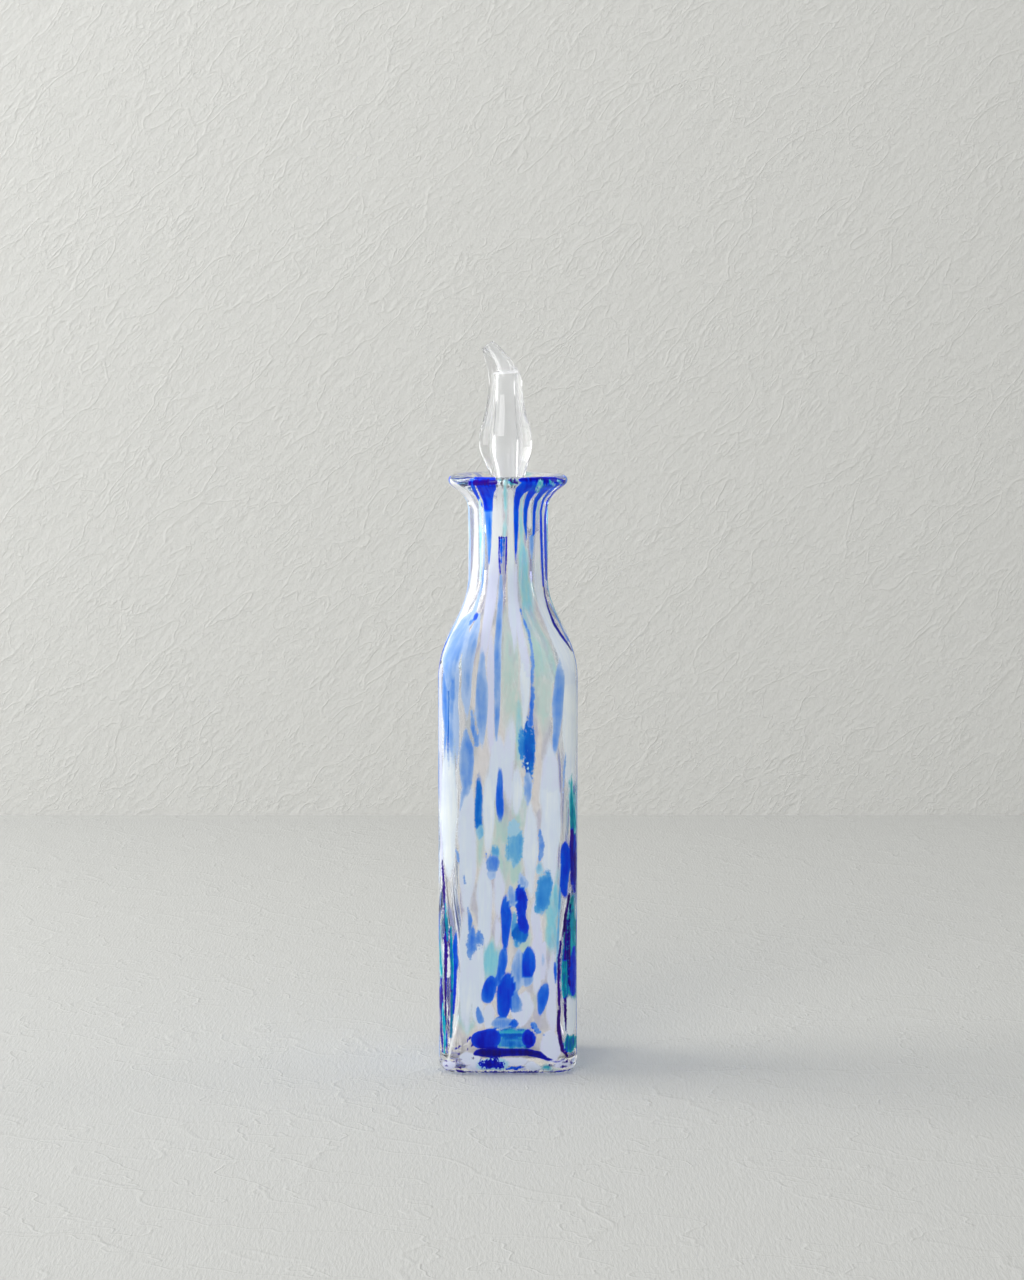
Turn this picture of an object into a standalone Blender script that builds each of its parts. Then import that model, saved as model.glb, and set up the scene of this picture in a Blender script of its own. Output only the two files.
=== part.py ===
"""Square blown-glass oil bottle with a bent glass pourer in a ribbed silicone seal.

Metres, +Z up. The origin is on the bottle's axis, on the surface it stands on. The front looks
to -Y and the pourer's beak points to -X.
"""

import math

import bmesh
import bpy

# Bottle, outside
BODY_WIDTH = 0.0581
BODY_CORNER_RADIUS = 0.0090
FOOT_RADIUS = 0.0050
BODY_HEIGHT = 0.1660
SHOULDER_HEIGHT = 0.0420
NECK_HEIGHT = 0.0270
LIP_HEIGHT = 0.0150
LIP_OVERHANG = 0.0083
RIM_THICKNESS = 0.0046

# Bottle, inside
NECK_WALL = 0.0073
BODY_WALL = 0.0042
FOOT_WALL = 0.0064
FOOT_WALL_HEIGHT = 0.0900
BASE_THICKNESS = 0.0065
FLOOR_CORNER_RADIUS = 0.0085

# Ribbed seal
SEAL_WALL = 0.0019
RIB_DEPTH = 0.0013
RIB_PITCH = 0.0023
RIB_COUNT = 9
RIB_TIP_THICKNESS = 0.0007
SEAL_END_COLLAR = 0.00105
SEAL_RECESS = 0.0032

# Glass pourer
POURER_BORE = 0.0072
STEM_WALL = 0.0021
STEM_RECESS = 0.0012
SEAT_WIDTH = 0.0009
BULB_BORE = 0.0096
BULB_WALL = 0.0063
BULB_RISE = 0.0159
BULB_TO_TUBE = 0.0262
TUBE_WALL = 0.0034
CEILING_RISE = 0.0036
CEILING_LEDGE = 0.0010
BEAK_RISE = 0.0148
BEAK_REACH = 0.0075
MOUTH_DIAMETER = 0.0057
MOUTH_WALL = 0.0009
MOUTH_TILT = math.radians(36)

# Clearances
GLIDE_GAP = 0.0003
SEAT_GAP = 0.0003

# Shape of the curves
SHOULDER_FULLNESS = 0.45
SHOULDER_HOLLOW = 0.43
LIP_HOLLOW = 0.55
LIP_SLOPE = math.radians(38)
BULB_FULLNESS = 0.35
BEAK_POWER = 1.6
MOUTH_POWER = 4

# Fineness of the facets
BOTTLE_SIDES = 64
SEAL_SIDES = 36
POURER_SIDES = 32
CORNER_CROWDING = 0.15
EDGE_ANGLE = math.radians(35)
FOOT_STEPS = 3
SHOULDER_STEPS = 9
LIP_STEPS = 5
RIM_STEPS = 5
THROAT_STEPS = 6
FLOOR_STEPS = 4
BULB_FOOT_STEPS = 5
BULB_TOP_STEPS = 7
BORE_STEPS = 4
BEAK_STEPS = 8
CHANNEL_STEPS = 5

# What follows from them, from the pourer's bore outwards
stem_radius = POURER_BORE / 2 + STEM_WALL
seal_bore_radius = stem_radius + GLIDE_GAP
seal_core_radius = seal_bore_radius + SEAL_WALL
rib_radius = seal_core_radius + RIB_DEPTH
neck_bore_radius = rib_radius + GLIDE_GAP
neck_radius = neck_bore_radius + NECK_WALL
lip_radius = neck_radius + LIP_OVERHANG
body_half = BODY_WIDTH / 2

shoulder_top = BODY_HEIGHT + SHOULDER_HEIGHT
neck_top = shoulder_top + NECK_HEIGHT
lip_top = neck_top + LIP_HEIGHT
seal_top = lip_top - SEAL_RECESS
seal_length = RIB_COUNT * RIB_PITCH + 2 * SEAL_END_COLLAR
seal_bottom = seal_top - seal_length
stem_bottom = seal_bottom + STEM_RECESS
seat_height = seal_top + SEAT_GAP
bulb_height = seat_height + BULB_RISE
tube_height = bulb_height + BULB_TO_TUBE
ceiling_height = tube_height + CEILING_RISE
mouth_height = tube_height + BEAK_RISE


def clear_scene():
    for obj in list(bpy.data.objects):
        bpy.data.objects.remove(obj, do_unlink=True)


def bezier(start, start_handle, end_handle, end, steps):
    """Points (radius, height) along a cubic curve, without its first point."""
    points = []
    for step in range(1, steps + 1):
        t = step / steps
        weights = ((1 - t) ** 3, 3 * t * (1 - t) ** 2, 3 * t * t * (1 - t), t ** 3)
        handles = (start, start_handle, end_handle, end)
        points.append(tuple(sum(w * h[axis] for w, h in zip(weights, handles)) for axis in (0, 1)))
    return points


def arc(centre, radius, first, last, steps):
    """Points (radius, height) of an arc from angle first to angle last, without its first point."""
    points = []
    for step in range(1, steps + 1):
        angle = first + (last - first) * step / steps
        points.append((centre[0] + radius * math.cos(angle), centre[1] + radius * math.sin(angle)))
    return points


def square_ring(half, corner, height):
    """A rounded square, or a circle where the corner radius reaches the half width."""
    corner = min(corner, half)
    straight = half - corner
    ring = []
    for index in range(BOTTLE_SIDES):
        turn = 2 * math.pi * index / BOTTLE_SIDES
        angle = turn + CORNER_CROWDING * math.sin(4 * turn)
        across = max(abs(math.cos(angle)), abs(math.sin(angle)))
        along = min(abs(math.cos(angle)), abs(math.sin(angle)))
        if half * along <= straight * across:
            reach = half / across
        else:
            reach = straight * (across + along)
            reach += math.sqrt(max(corner ** 2 - (straight * (across - along)) ** 2, 0))
        ring.append((reach * math.cos(angle), reach * math.sin(angle), height))
    return ring


def round_ring(radius, height, sides, centre=0.0, tilt=0.0):
    """A circle about (centre, 0), tipped towards -X by the tilt."""
    ring = []
    for index in range(sides):
        angle = 2 * math.pi * index / sides
        out = radius * math.cos(angle)
        x = centre + out * math.cos(tilt)
        z = height + out * math.sin(tilt)
        ring.append((x, radius * math.sin(angle), z))
    return ring


def lofted(name, rings, through):
    """A closed skin over rings of equal count: through joins the last ring to the first one
    as a bore does, and otherwise the first and last rings are closed with flat faces."""
    bm = bmesh.new()
    loops = [[bm.verts.new(point) for point in ring] for ring in rings]
    pairs = list(zip(loops, loops[1:]))
    if through:
        pairs.append((loops[-1], loops[0]))
    for lower, upper in pairs:
        for index in range(len(lower)):
            after = (index + 1) % len(lower)
            bm.faces.new((lower[index], lower[after], upper[after], upper[index]))
    if not through:
        bm.faces.new(reversed(loops[0]))
        bm.faces.new(loops[-1])
    mesh = bpy.data.meshes.new(name)
    bm.to_mesh(mesh)
    bm.free()
    mesh.shade_smooth()
    mesh.set_sharp_from_angle(angle=EDGE_ANGLE)
    return mesh


def glass_like(name, colour, roughness, alpha):
    material = bpy.data.materials.new(name)
    material.use_nodes = True
    shader = material.node_tree.nodes["Principled BSDF"]
    shader.inputs["Base Color"].default_value = (*colour, 1.0)
    shader.inputs["Roughness"].default_value = roughness
    shader.inputs["Metallic"].default_value = 0.0
    shader.inputs["Alpha"].default_value = alpha
    material.diffuse_color = (*colour, alpha)
    return material


def add_piece(name, mesh, material, parent):
    piece = bpy.data.objects.new(name, mesh)
    mesh.materials.append(material)
    bpy.context.scene.collection.objects.link(piece)
    piece.parent = parent
    return piece


def add_axis(name, parent):
    """An empty on the bottle's axis, where the pourer slides and turns."""
    axis = bpy.data.objects.new(name, None)
    axis.empty_display_size = 0.01
    bpy.context.scene.collection.objects.link(axis)
    axis.parent = parent
    return axis


def foot_rings():
    rings = []
    for step in range(FOOT_STEPS + 1):
        angle = math.radians(90) * step / FOOT_STEPS
        inset = FOOT_RADIUS * (1 - math.sin(angle))
        corner = max(BODY_CORNER_RADIUS - inset, FOOT_RADIUS / 4)
        rings.append(square_ring(body_half - inset, corner, FOOT_RADIUS * (1 - math.cos(angle))))
    return rings


def shoulder_rings(half, corner, low, end_radius, high):
    """From a rounded square at height low to a circle at height high, along an S curve."""
    rise = high - low
    handles = ((half, low + SHOULDER_FULLNESS * rise), (end_radius, high - SHOULDER_HOLLOW * rise))
    points = bezier((half, low), *handles, (end_radius, high), SHOULDER_STEPS)
    rings = [square_ring(half, corner, low)]
    for step, (radius, height) in enumerate(points, 1):
        share = step / SHOULDER_STEPS
        blend = share * share * (3 - 2 * share)
        rings.append(square_ring(radius, corner + (radius - corner) * blend, height))
    return rings


def lip_points():
    """(radius, height) up the neck's outside, over the rolled rim and down into the bore."""
    rim = RIM_THICKNESS / 2
    rim_centre = (lip_radius - rim, lip_top - rim)
    under = (rim_centre[0] + rim * math.sin(LIP_SLOPE), rim_centre[1] - rim * math.cos(LIP_SLOPE))
    reach = LIP_HOLLOW * (under[0] - neck_radius)
    start = (neck_radius, neck_top)
    start_handle = (neck_radius, neck_top + LIP_HOLLOW * (under[1] - neck_top))
    end_handle = (under[0] - reach * math.cos(LIP_SLOPE), under[1] - reach * math.sin(LIP_SLOPE))
    points = [start] + bezier(start, start_handle, end_handle, under, LIP_STEPS)
    points += arc(rim_centre, rim, LIP_SLOPE - math.pi / 2, math.pi / 2, RIM_STEPS)
    mouth = points[-1]
    throat = (neck_bore_radius, neck_top)
    mouth_handle = (mouth[0] - LIP_HOLLOW * (mouth[0] - throat[0]), mouth[1])
    throat_handle = (throat[0], throat[1] + LIP_HOLLOW * (mouth[1] - throat[1]))
    return points + bezier(mouth, mouth_handle, throat_handle, throat, THROAT_STEPS)


def wall_at(height):
    """The body's wall, which thickens towards the foot."""
    share = max(0.0, 1 - height / FOOT_WALL_HEIGHT)
    return BODY_WALL + (FOOT_WALL - BODY_WALL) * share


def cavity_rings():
    """The inside, from the throat down to the floor."""
    half = body_half - BODY_WALL
    corner = max(BODY_CORNER_RADIUS - BODY_WALL, BODY_WALL / 2)
    low = BODY_HEIGHT - BODY_WALL / 2
    rings = shoulder_rings(half, corner, low, neck_bore_radius, shoulder_top)[::-1]
    rings.append(square_ring(half, corner, FOOT_WALL_HEIGHT))
    turn_height = BASE_THICKNESS + FLOOR_CORNER_RADIUS
    floor_half = body_half - wall_at(turn_height)
    for step in range(FLOOR_STEPS + 1):
        angle = math.radians(90) * step / FLOOR_STEPS
        inset = FLOOR_CORNER_RADIUS * (1 - math.cos(angle))
        height = turn_height - FLOOR_CORNER_RADIUS * math.sin(angle)
        rings.append(square_ring(floor_half - inset, corner + inset / 3, height))
    return rings


def make_bottle(material):
    rings = foot_rings()
    rings += shoulder_rings(body_half, BODY_CORNER_RADIUS, BODY_HEIGHT, neck_radius, shoulder_top)
    rings += [square_ring(radius, radius, height) for radius, height in lip_points()]
    rings += cavity_rings()
    return add_piece("bottle", lofted("bottle", rings, False), material, None)


def make_seal(material, parent):
    points = [(seal_bore_radius, seal_bottom), (seal_core_radius, seal_bottom)]
    root = (RIB_PITCH - RIB_TIP_THICKNESS) / 2
    for rib in range(RIB_COUNT):
        low = seal_bottom + SEAL_END_COLLAR + rib * RIB_PITCH
        points.append((seal_core_radius, low))
        points.append((rib_radius, low + root))
        points.append((rib_radius, low + root + RIB_TIP_THICKNESS))
    points.append((seal_core_radius, seal_top - SEAL_END_COLLAR))
    points += [(seal_core_radius, seal_top), (seal_bore_radius, seal_top)]
    rings = [round_ring(radius, height, SEAL_SIDES) for radius, height in points]
    return add_piece("seal_sleeve", lofted("seal_sleeve", rings, True), material, parent)


def beak_ring(share):
    """The beak's outside, from the tube's top at share 0 to the slanted mouth at share 1."""
    bend = share ** BEAK_POWER
    tube_radius = POURER_BORE / 2 + TUBE_WALL
    radius = tube_radius + (MOUTH_DIAMETER / 2 - tube_radius) * bend
    height = tube_height + BEAK_RISE * share
    tilt = MOUTH_TILT * share ** MOUTH_POWER
    return round_ring(radius, height, POURER_SIDES, -BEAK_REACH * bend, tilt)


def channel_ring(share):
    """The beak's channel, from the mouth at share 0 down to the bore's flat end at share 1."""
    mouth_radius = MOUTH_DIAMETER / 2 - MOUTH_WALL
    foot_radius = POURER_BORE / 2 - CEILING_LEDGE
    foot_centre = -CEILING_LEDGE / 2
    radius = mouth_radius + (foot_radius - mouth_radius) * share
    height = mouth_height + (ceiling_height - mouth_height) * share
    centre = foot_centre + (-BEAK_REACH - foot_centre) * (1 - share) ** BEAK_POWER
    return round_ring(radius, height, POURER_SIDES, centre, MOUTH_TILT * (1 - share) ** MOUTH_POWER)


def make_pourer(material, parent):
    bulb_radius = BULB_BORE / 2 + BULB_WALL
    bore_radius = POURER_BORE / 2
    tube_radius = bore_radius + TUBE_WALL
    seat_radius = stem_radius + SEAT_WIDTH
    bulb = (bulb_radius, bulb_height)
    seat = (seat_radius, seat_height)
    tube = (tube_radius, tube_height)
    points = [(stem_radius, stem_bottom), (stem_radius, seat_height), seat]
    seat_handle = (seat_radius + SEAT_WIDTH, seat_height + BULB_RISE / 4)
    bulb_handle = (bulb_radius, bulb_height - BULB_FULLNESS * BULB_RISE)
    points += bezier(seat, seat_handle, bulb_handle, bulb, BULB_FOOT_STEPS)
    bulb_handle = (bulb_radius, bulb_height + BULB_FULLNESS * BULB_TO_TUBE)
    tube_handle = (tube_radius, tube_height - BULB_TO_TUBE / 2)
    points += bezier(bulb, bulb_handle, tube_handle, tube, BULB_TOP_STEPS)
    rings = [round_ring(radius, height, POURER_SIDES) for radius, height in points]
    rings += [beak_ring(step / BEAK_STEPS) for step in range(1, BEAK_STEPS + 1)]
    rings += [channel_ring(step / CHANNEL_STEPS) for step in range(CHANNEL_STEPS + 1)]
    inner = [(bore_radius, ceiling_height), (bore_radius, tube_height)]
    wide = (BULB_BORE / 2, bulb_height)
    narrow_handle = (bore_radius, tube_height - BULB_TO_TUBE / 2)
    wide_handle = (BULB_BORE / 2, bulb_height + BULB_FULLNESS * BULB_TO_TUBE)
    inner += bezier((bore_radius, tube_height), narrow_handle, wide_handle, wide, BORE_STEPS)
    stem_handle = (bore_radius, seat_height + BULB_RISE / 2)
    wide_handle = (BULB_BORE / 2, bulb_height - BULB_FULLNESS * BULB_RISE)
    inner += bezier(wide, wide_handle, stem_handle, (bore_radius, seat_height), BORE_STEPS)
    inner.append((bore_radius, stem_bottom))
    rings += [round_ring(radius, height, POURER_SIDES) for radius, height in inner]
    return add_piece("pourer_spout", lofted("pourer_spout", rings, True), material, parent)


def main():
    clear_scene()
    bottle = make_bottle(glass_like("chipped_blue_glass", (0.50, 0.68, 0.88), 0.03, 0.6))
    lift_axis = add_axis("pourer_lift_axis", bottle)
    seal = make_seal(glass_like("clear_silicone", (0.86, 0.87, 0.86), 0.35, 0.9), lift_axis)
    turn_axis = add_axis("spout_turn_axis", seal)
    make_pourer(glass_like("clear_glass", (0.90, 0.93, 0.94), 0.02, 0.5), turn_axis)


main()
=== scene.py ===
import math

import bpy
import numpy as np
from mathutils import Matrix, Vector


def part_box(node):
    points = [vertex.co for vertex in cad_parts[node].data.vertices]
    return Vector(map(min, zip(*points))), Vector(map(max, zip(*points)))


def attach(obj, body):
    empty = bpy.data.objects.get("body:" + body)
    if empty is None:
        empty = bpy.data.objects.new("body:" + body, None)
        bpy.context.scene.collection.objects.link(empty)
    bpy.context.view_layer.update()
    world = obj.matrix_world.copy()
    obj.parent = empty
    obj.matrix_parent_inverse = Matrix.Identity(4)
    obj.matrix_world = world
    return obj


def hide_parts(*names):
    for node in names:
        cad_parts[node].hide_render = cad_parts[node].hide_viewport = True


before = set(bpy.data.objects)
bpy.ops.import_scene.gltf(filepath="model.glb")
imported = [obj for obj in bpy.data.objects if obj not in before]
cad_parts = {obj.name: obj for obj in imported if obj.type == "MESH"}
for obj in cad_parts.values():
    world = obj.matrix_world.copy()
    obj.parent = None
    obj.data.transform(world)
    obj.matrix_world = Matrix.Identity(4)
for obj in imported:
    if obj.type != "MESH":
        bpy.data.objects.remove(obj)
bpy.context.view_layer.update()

mm = 0.001

# The place of the lens in metres and degrees, and the lens and its sensor in millimetres
cameraSetup = {
    "distance": 1.386,
    "height": 0.3246,
    "across": 0.0017,
    "pitch": 5.95,
    "lens": 93.0,
    "sensor": 36.0,
}

# The pale plaster of the floor and of the backdrop behind it, and the even light on them
studio = {
    "floor": {
        "halfWidth": 4.0,
        "colour": (0.557, 0.561, 0.545),
        "roughness": 0.85,
        "creases": (9.0, 22.0),
        "grain": (1.9, 0.34, 1.0),
        "relief": 0.42,
    },
    "backdrop": {
        "halfWidth": 2.6,
        "at": 0.668,
        "height": 3.0,
        "colour": (0.68, 0.68, 0.654),
        "roughness": 0.9,
        "creases": (26.0, 75.0, 160.0),
        "grain": (1.0, 1.0, 1.0),
        "relief": 0.37,
    },
    "creaseStretch": (0.22, 1.0, 1.0),
    "creaseTurn": (0.0, math.radians(47), math.radians(20)),
    "creaseNoise": {"detail": 3.0, "roughness": 0.55},
    "creaseWidth": 0.012,
    "creaseHeight": 0.5,
    "creaseSlope": 2.0,
    "grainNoise": {"scale": 420.0, "detail": 4.0, "roughness": 0.6},
    "grainHeight": 1.1,
    "skyColour": (1.0, 1.0, 0.995),
    "skyStrength": 0.38,
}


def placeCamera():
    camera = bpy.data.cameras.new("photoCamera")
    camera.sensor_width = cameraSetup["sensor"]
    camera.lens = cameraSetup["lens"]
    camera.clip_start = 0.05
    holder = bpy.data.objects.new("photoCamera", camera)
    holder.location = (cameraSetup["across"], -cameraSetup["distance"], cameraSetup["height"])
    holder.rotation_euler = (math.radians(90 - cameraSetup["pitch"]), 0, 0)
    bpy.context.scene.collection.objects.link(holder)
    bpy.context.scene.camera = holder


# A number in a material: sums on it add Math nodes
class Number:
    def __init__(self, paint, socket):
        self.paint = paint
        self.socket = socket

    def work(self, operation, first, second=0.0):
        return self.paint.number("ShaderNodeMath", {"operation": operation}, {0: first, 1: second})

    def __add__(self, other):
        return self.work("ADD", self, other)

    def __radd__(self, other):
        return self.work("ADD", other, self)

    def __sub__(self, other):
        return self.work("SUBTRACT", self, other)

    def __rsub__(self, other):
        return self.work("SUBTRACT", other, self)

    def __mul__(self, other):
        return self.work("MULTIPLY", self, other)

    def __rmul__(self, other):
        return self.work("MULTIPLY", other, self)

    def __truediv__(self, other):
        return self.work("DIVIDE", self, other)

    def __abs__(self):
        return self.work("ABSOLUTE", self)

    # 0 below low, 1 above high and a smooth step between them
    def step(self, low, high):
        ranged = {"interpolation_type": "SMOOTHSTEP"}
        return self.paint.number("ShaderNodeMapRange", ranged, {0: self, 1: low, 2: high, 3: 0.0, 4: 1.0})


# A material's nodes, each added by one method
class Paint:
    def __init__(self, name):
        self.material = bpy.data.materials.new(name)
        self.material.use_nodes = True
        self.tree = self.material.node_tree
        self.tree.nodes.clear()

    def add(self, kind, settings=None, sockets=None):
        node = self.tree.nodes.new(kind)
        for key, value in (settings or {}).items():
            if key == "stops":
                self.setStops(node.color_ramp, value)
            else:
                setattr(node, key, value)
        for key, value in (sockets or {}).items():
            self.feed(node.inputs[key], value)
        return node

    def setStops(self, ramp, stops):
        while len(ramp.elements) < len(stops):
            ramp.elements.new(1.0)
        for element, (position, colour) in zip(ramp.elements, stops):
            element.position = position
            element.color = opaque(colour)

    def feed(self, socket, value):
        if isinstance(value, Number):
            value = value.socket
        if isinstance(value, bpy.types.NodeSocket):
            self.tree.links.new(value, socket)
        else:
            socket.default_value = value

    def number(self, kind, settings=None, sockets=None, out=0):
        return Number(self, self.add(kind, settings, sockets).outputs[out])

    def vector(self, operation, first, second):
        return self.add("ShaderNodeVectorMath", {"operation": operation}, {0: first, 1: second}).outputs[0]

    def stored(self, name):
        return self.add("ShaderNodeAttribute", {"attribute_name": name, "attribute_type": "GEOMETRY"}).outputs

    def field(self, name):
        return Number(self, self.stored(name)["Fac"])

    # 1 where the surface is seen from behind
    def inward(self):
        return self.number("ShaderNodeNewGeometry", out="Backfacing")

    def place(self, stretch=(1.0, 1.0, 1.0)):
        return self.vector("MULTIPLY", self.add("ShaderNodeTexCoord").outputs["Object"], stretch)

    def noise(self, vector, scale, detail=2.0, roughness=0.5):
        sockets = {"Vector": vector, "Scale": scale, "Detail": detail, "Roughness": roughness}
        return self.number("ShaderNodeTexNoise", {}, sockets, "Fac")

    def mixColour(self, share, first, second):
        node = self.add("ShaderNodeMix", {"data_type": "RGBA"}, {0: share})
        self.feed(node.inputs[6], first)
        self.feed(node.inputs[7], second)
        return node.outputs[2]

    def mixShader(self, share, first, second):
        return self.add("ShaderNodeMixShader", {}, {0: share, 1: first, 2: second}).outputs[0]

    def principled(self, **sockets):
        node = self.add("ShaderNodeBsdfPrincipled")
        for key, value in sockets.items():
            self.feed(node.inputs[key.replace("_", " ")], value)
        return node.outputs[0]

    # A shader with this share of light that passes into it and scatters, as in milky glass
    def milky(self, share, shader, colour):
        glow = self.add("ShaderNodeBsdfTranslucent", {}, {0: opaque(colour)}).outputs[0]
        return self.mixShader(share, shader, glow)

    # Light reaches what is behind this surface straight through it, dimmed by the given colour
    def seeThroughForShadows(self, shader, colour):
        clear = self.add("ShaderNodeBsdfTransparent", {}, {0: opaque(colour)}).outputs[0]
        shadowRay = self.add("ShaderNodeLightPath").outputs["Is Shadow Ray"]
        return self.mixShader(shadowRay, shader, clear)

    def finish(self, shader):
        out = self.add("ShaderNodeOutputMaterial")
        self.tree.links.new(shader, out.inputs["Surface"])
        return self.material


def opaque(colour):
    return (*colour, 1.0)


# A colour as screens number it, 0 to 255, in the linear values that materials take
def screen(red, green, blue):
    share = np.array([red, green, blue]) / 255
    linear = np.where(share <= 0.04045, share / 12.92, ((share + 0.055) / 1.055) ** 2.4)
    return tuple(float(value) for value in linear)


def addObject(name, mesh, *materials):
    piece = bpy.data.objects.new(name, mesh)
    for material in materials:
        mesh.materials.append(material)
    bpy.context.scene.collection.objects.link(piece)
    return piece


# A skin over a grid of points, rows by columns, which closes on itself sideways. The first and the
# last row close at a point each, or onto one another where the skin is a ring.
def wrapGrid(name, points, ring=False):
    rows, columns = points.shape[:2]
    index = np.arange(rows * columns).reshape(rows, columns)
    lower = index if ring else index[:-1]
    upper = np.roll(index, -1, axis=0) if ring else index[1:]
    quads = np.stack([lower, np.roll(lower, -1, 1), np.roll(upper, -1, 1), upper], -1).reshape(-1, 4)
    spots = points.reshape(-1, 3)
    loops = [quads.reshape(-1)]
    sizes = [np.full(len(quads), 4)]
    if not ring:
        for row, centre in ((index[0], len(spots)), (index[-1], len(spots) + 1)):
            fan = np.stack([np.full(columns, centre), np.roll(row, -1), row], -1)
            fan = fan if centre == len(spots) else fan[:, [0, 2, 1]]
            loops.append(fan.reshape(-1))
            sizes.append(np.full(columns, 3))
        spots = np.concatenate([spots, points[[0, -1]].mean(axis=1)])
    loops = np.concatenate(loops)
    sizes = np.concatenate(sizes)
    mesh = bpy.data.meshes.new(name)
    mesh.vertices.add(len(spots))
    mesh.vertices.foreach_set("co", spots.astype(np.float32).ravel())
    mesh.loops.add(len(loops))
    mesh.loops.foreach_set("vertex_index", loops.astype(np.int32))
    mesh.polygons.add(len(sizes))
    mesh.polygons.foreach_set("loop_start", (np.cumsum(sizes) - sizes).astype(np.int32))
    mesh.polygons.foreach_set("use_smooth", np.ones(len(sizes), bool))
    mesh.update(calc_edges=True)
    return mesh


# A value or a vector for each point of a closed skin, its two end points taking their row's mean
def storeField(mesh, name, values, kind="FLOAT", member="value"):
    ends = values[[0, -1]].mean(axis=1)
    values = np.concatenate([values.reshape(-1, *values.shape[2:]), ends])
    layer = mesh.attributes.new(name, kind, "POINT")
    layer.data.foreach_set(member, values.astype(np.float32).ravel())


# A smooth step from 0 at one value to 1 at another: 3s^2 - 2s^3 of the share s of the way
def fade(value, start, end):
    share = np.clip((value - start) / (end - start), 0, 1)
    return share * share * (3 - 2 * share)


# A cubic curve: the four points weighted by (1-t)^3, 3t(1-t)^2, 3t^2(1-t) and t^3
def bezier(points, count):
    t = np.linspace(0, 1, count)[:, None]
    a, b, c, d = (np.array(point, float) for point in points)
    return a * (1 - t) ** 3 + 3 * b * t * (1 - t) ** 2 + 3 * c * t * t * (1 - t) + d * t ** 3


# A cubic curve between two points (radius, height) that is upright at both, its handles these shares
# of the rise
def uprightCurve(first, last, pulls, count):
    rise = last[1] - first[1]
    handles = [(first[0], first[1] + pulls[0] * rise), (last[0], last[1] - pulls[1] * rise)]
    return bezier([first, *handles, last], count)


# An arc about a centre, from one angle to another
def arc(centre, radius, first, last, count):
    angle = np.linspace(first, last, count)
    return np.stack([centre[0] + radius * np.cos(angle), centre[1] + radius * np.sin(angle)], -1)


# A path's points set out again, at even steps along its length
def evenly(path, count):
    length = np.concatenate([[0], np.cumsum(np.linalg.norm(np.diff(path[:, :2], axis=0), axis=1))])
    keep = np.concatenate([[True], np.diff(length) > 1e-9])
    at = np.linspace(0, length[-1], count)
    return np.stack([np.interp(at, length[keep], path[keep, axis]) for axis in range(path.shape[1])], -1)


# Slow waves over a surface: a sum of sines of the turn and the height, each with its own phase
def waves(turn, height, seed, size):
    draw = np.random.default_rng(seed)
    total = np.zeros(np.broadcast(turn, height).shape)
    for around in range(1, 6):
        phase = draw.uniform(0, 2 * math.pi, 2)
        tall = draw.uniform(8, 45)
        total = total + np.sin(around * turn + phase[0]) * np.sin(height * tall + phase[1]) / around
    return total * size


print("camera and studio")


# Skimmed plaster: thin slanting creases, where a slow noise crosses its middle, on a fine grain
def plasterBump(paint, look):
    turned = paint.add("ShaderNodeVectorRotate", {"rotation_type": "EULER_XYZ"},
                       {"Vector": paint.place(), "Rotation": studio["creaseTurn"]}).outputs[0]
    slanting = paint.vector("MULTIPLY", turned, studio["creaseStretch"])
    height = paint.noise(paint.place(look["grain"]), **studio["grainNoise"]) * studio["grainHeight"]
    for scale in look["creases"]:
        away = abs(paint.noise(slanting, scale, **studio["creaseNoise"]) - 0.5)
        crease = (1 - away.step(0.0, studio["creaseWidth"])) * studio["creaseHeight"]
        height = height + crease - away * studio["creaseSlope"]
    sockets = {"Strength": look["relief"], "Distance": mm, "Height": height}
    return paint.add("ShaderNodeBump", {}, sockets).outputs[0]


# A flat sheet of plaster through four corners, which can be clear from behind
def plasterSheet(name, corners, clearBehind):
    look = studio[name]
    mesh = bpy.data.meshes.new(name)
    mesh.from_pydata(corners, [], [(0, 1, 2, 3)])
    paint = Paint("pale" + name.capitalize())
    shader = paint.principled(Base_Color=opaque(look["colour"]), Roughness=look["roughness"],
                              Normal=plasterBump(paint, look))
    if clearBehind:
        clear = paint.add("ShaderNodeBsdfTransparent").outputs[0]
        shader = paint.mixShader(paint.inward(), shader, clear)
    return addObject(name, mesh, paint.finish(shader))


def buildStudio():
    half, wide = studio["floor"]["halfWidth"], studio["backdrop"]["halfWidth"]
    at, tall = studio["backdrop"]["at"], studio["backdrop"]["height"]
    ground = [(-half, -half, 0), (half, -half, 0), (half, half, 0), (-half, half, 0)]
    upright = [(-wide, at, 0), (wide, at, 0), (wide, at, tall), (-wide, at, tall)]
    floor = plasterSheet("floor", ground, False)
    backdrop = plasterSheet("backdrop", upright, True)

    world = bpy.data.worlds.new("studioWorld")
    world.use_nodes = True
    sky = world.node_tree.nodes["Background"]
    sky.inputs["Color"].default_value = opaque(studio["skyColour"])
    sky.inputs["Strength"].default_value = studio["skyStrength"]
    bpy.context.scene.world = world


# Each lamp: where it stands, what it looks at, its width and height, and its power in watts
lamps = {
    "leftWindow": {"at": (-1.35, 0.18, 0.90), "to": (0, 0, 0.58), "size": (0.96, 1.6), "power": 17.2},
    "rightCard": {"at": (1.5, 0.45, 0.84), "to": (0, 0, 0.55), "size": (0.5, 1.4), "power": 3.6},
    "topSoft": {"at": (-0.5, 0.0, 2.2), "to": (0, 0, 0), "size": (2.0, 2.0), "power": 10.0},
    "frontSoft": {"at": (-0.9, -2.2, 1.4), "to": (0, 0, 0.15), "size": (1.4, 1.4), "power": 30.0},
}


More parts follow.
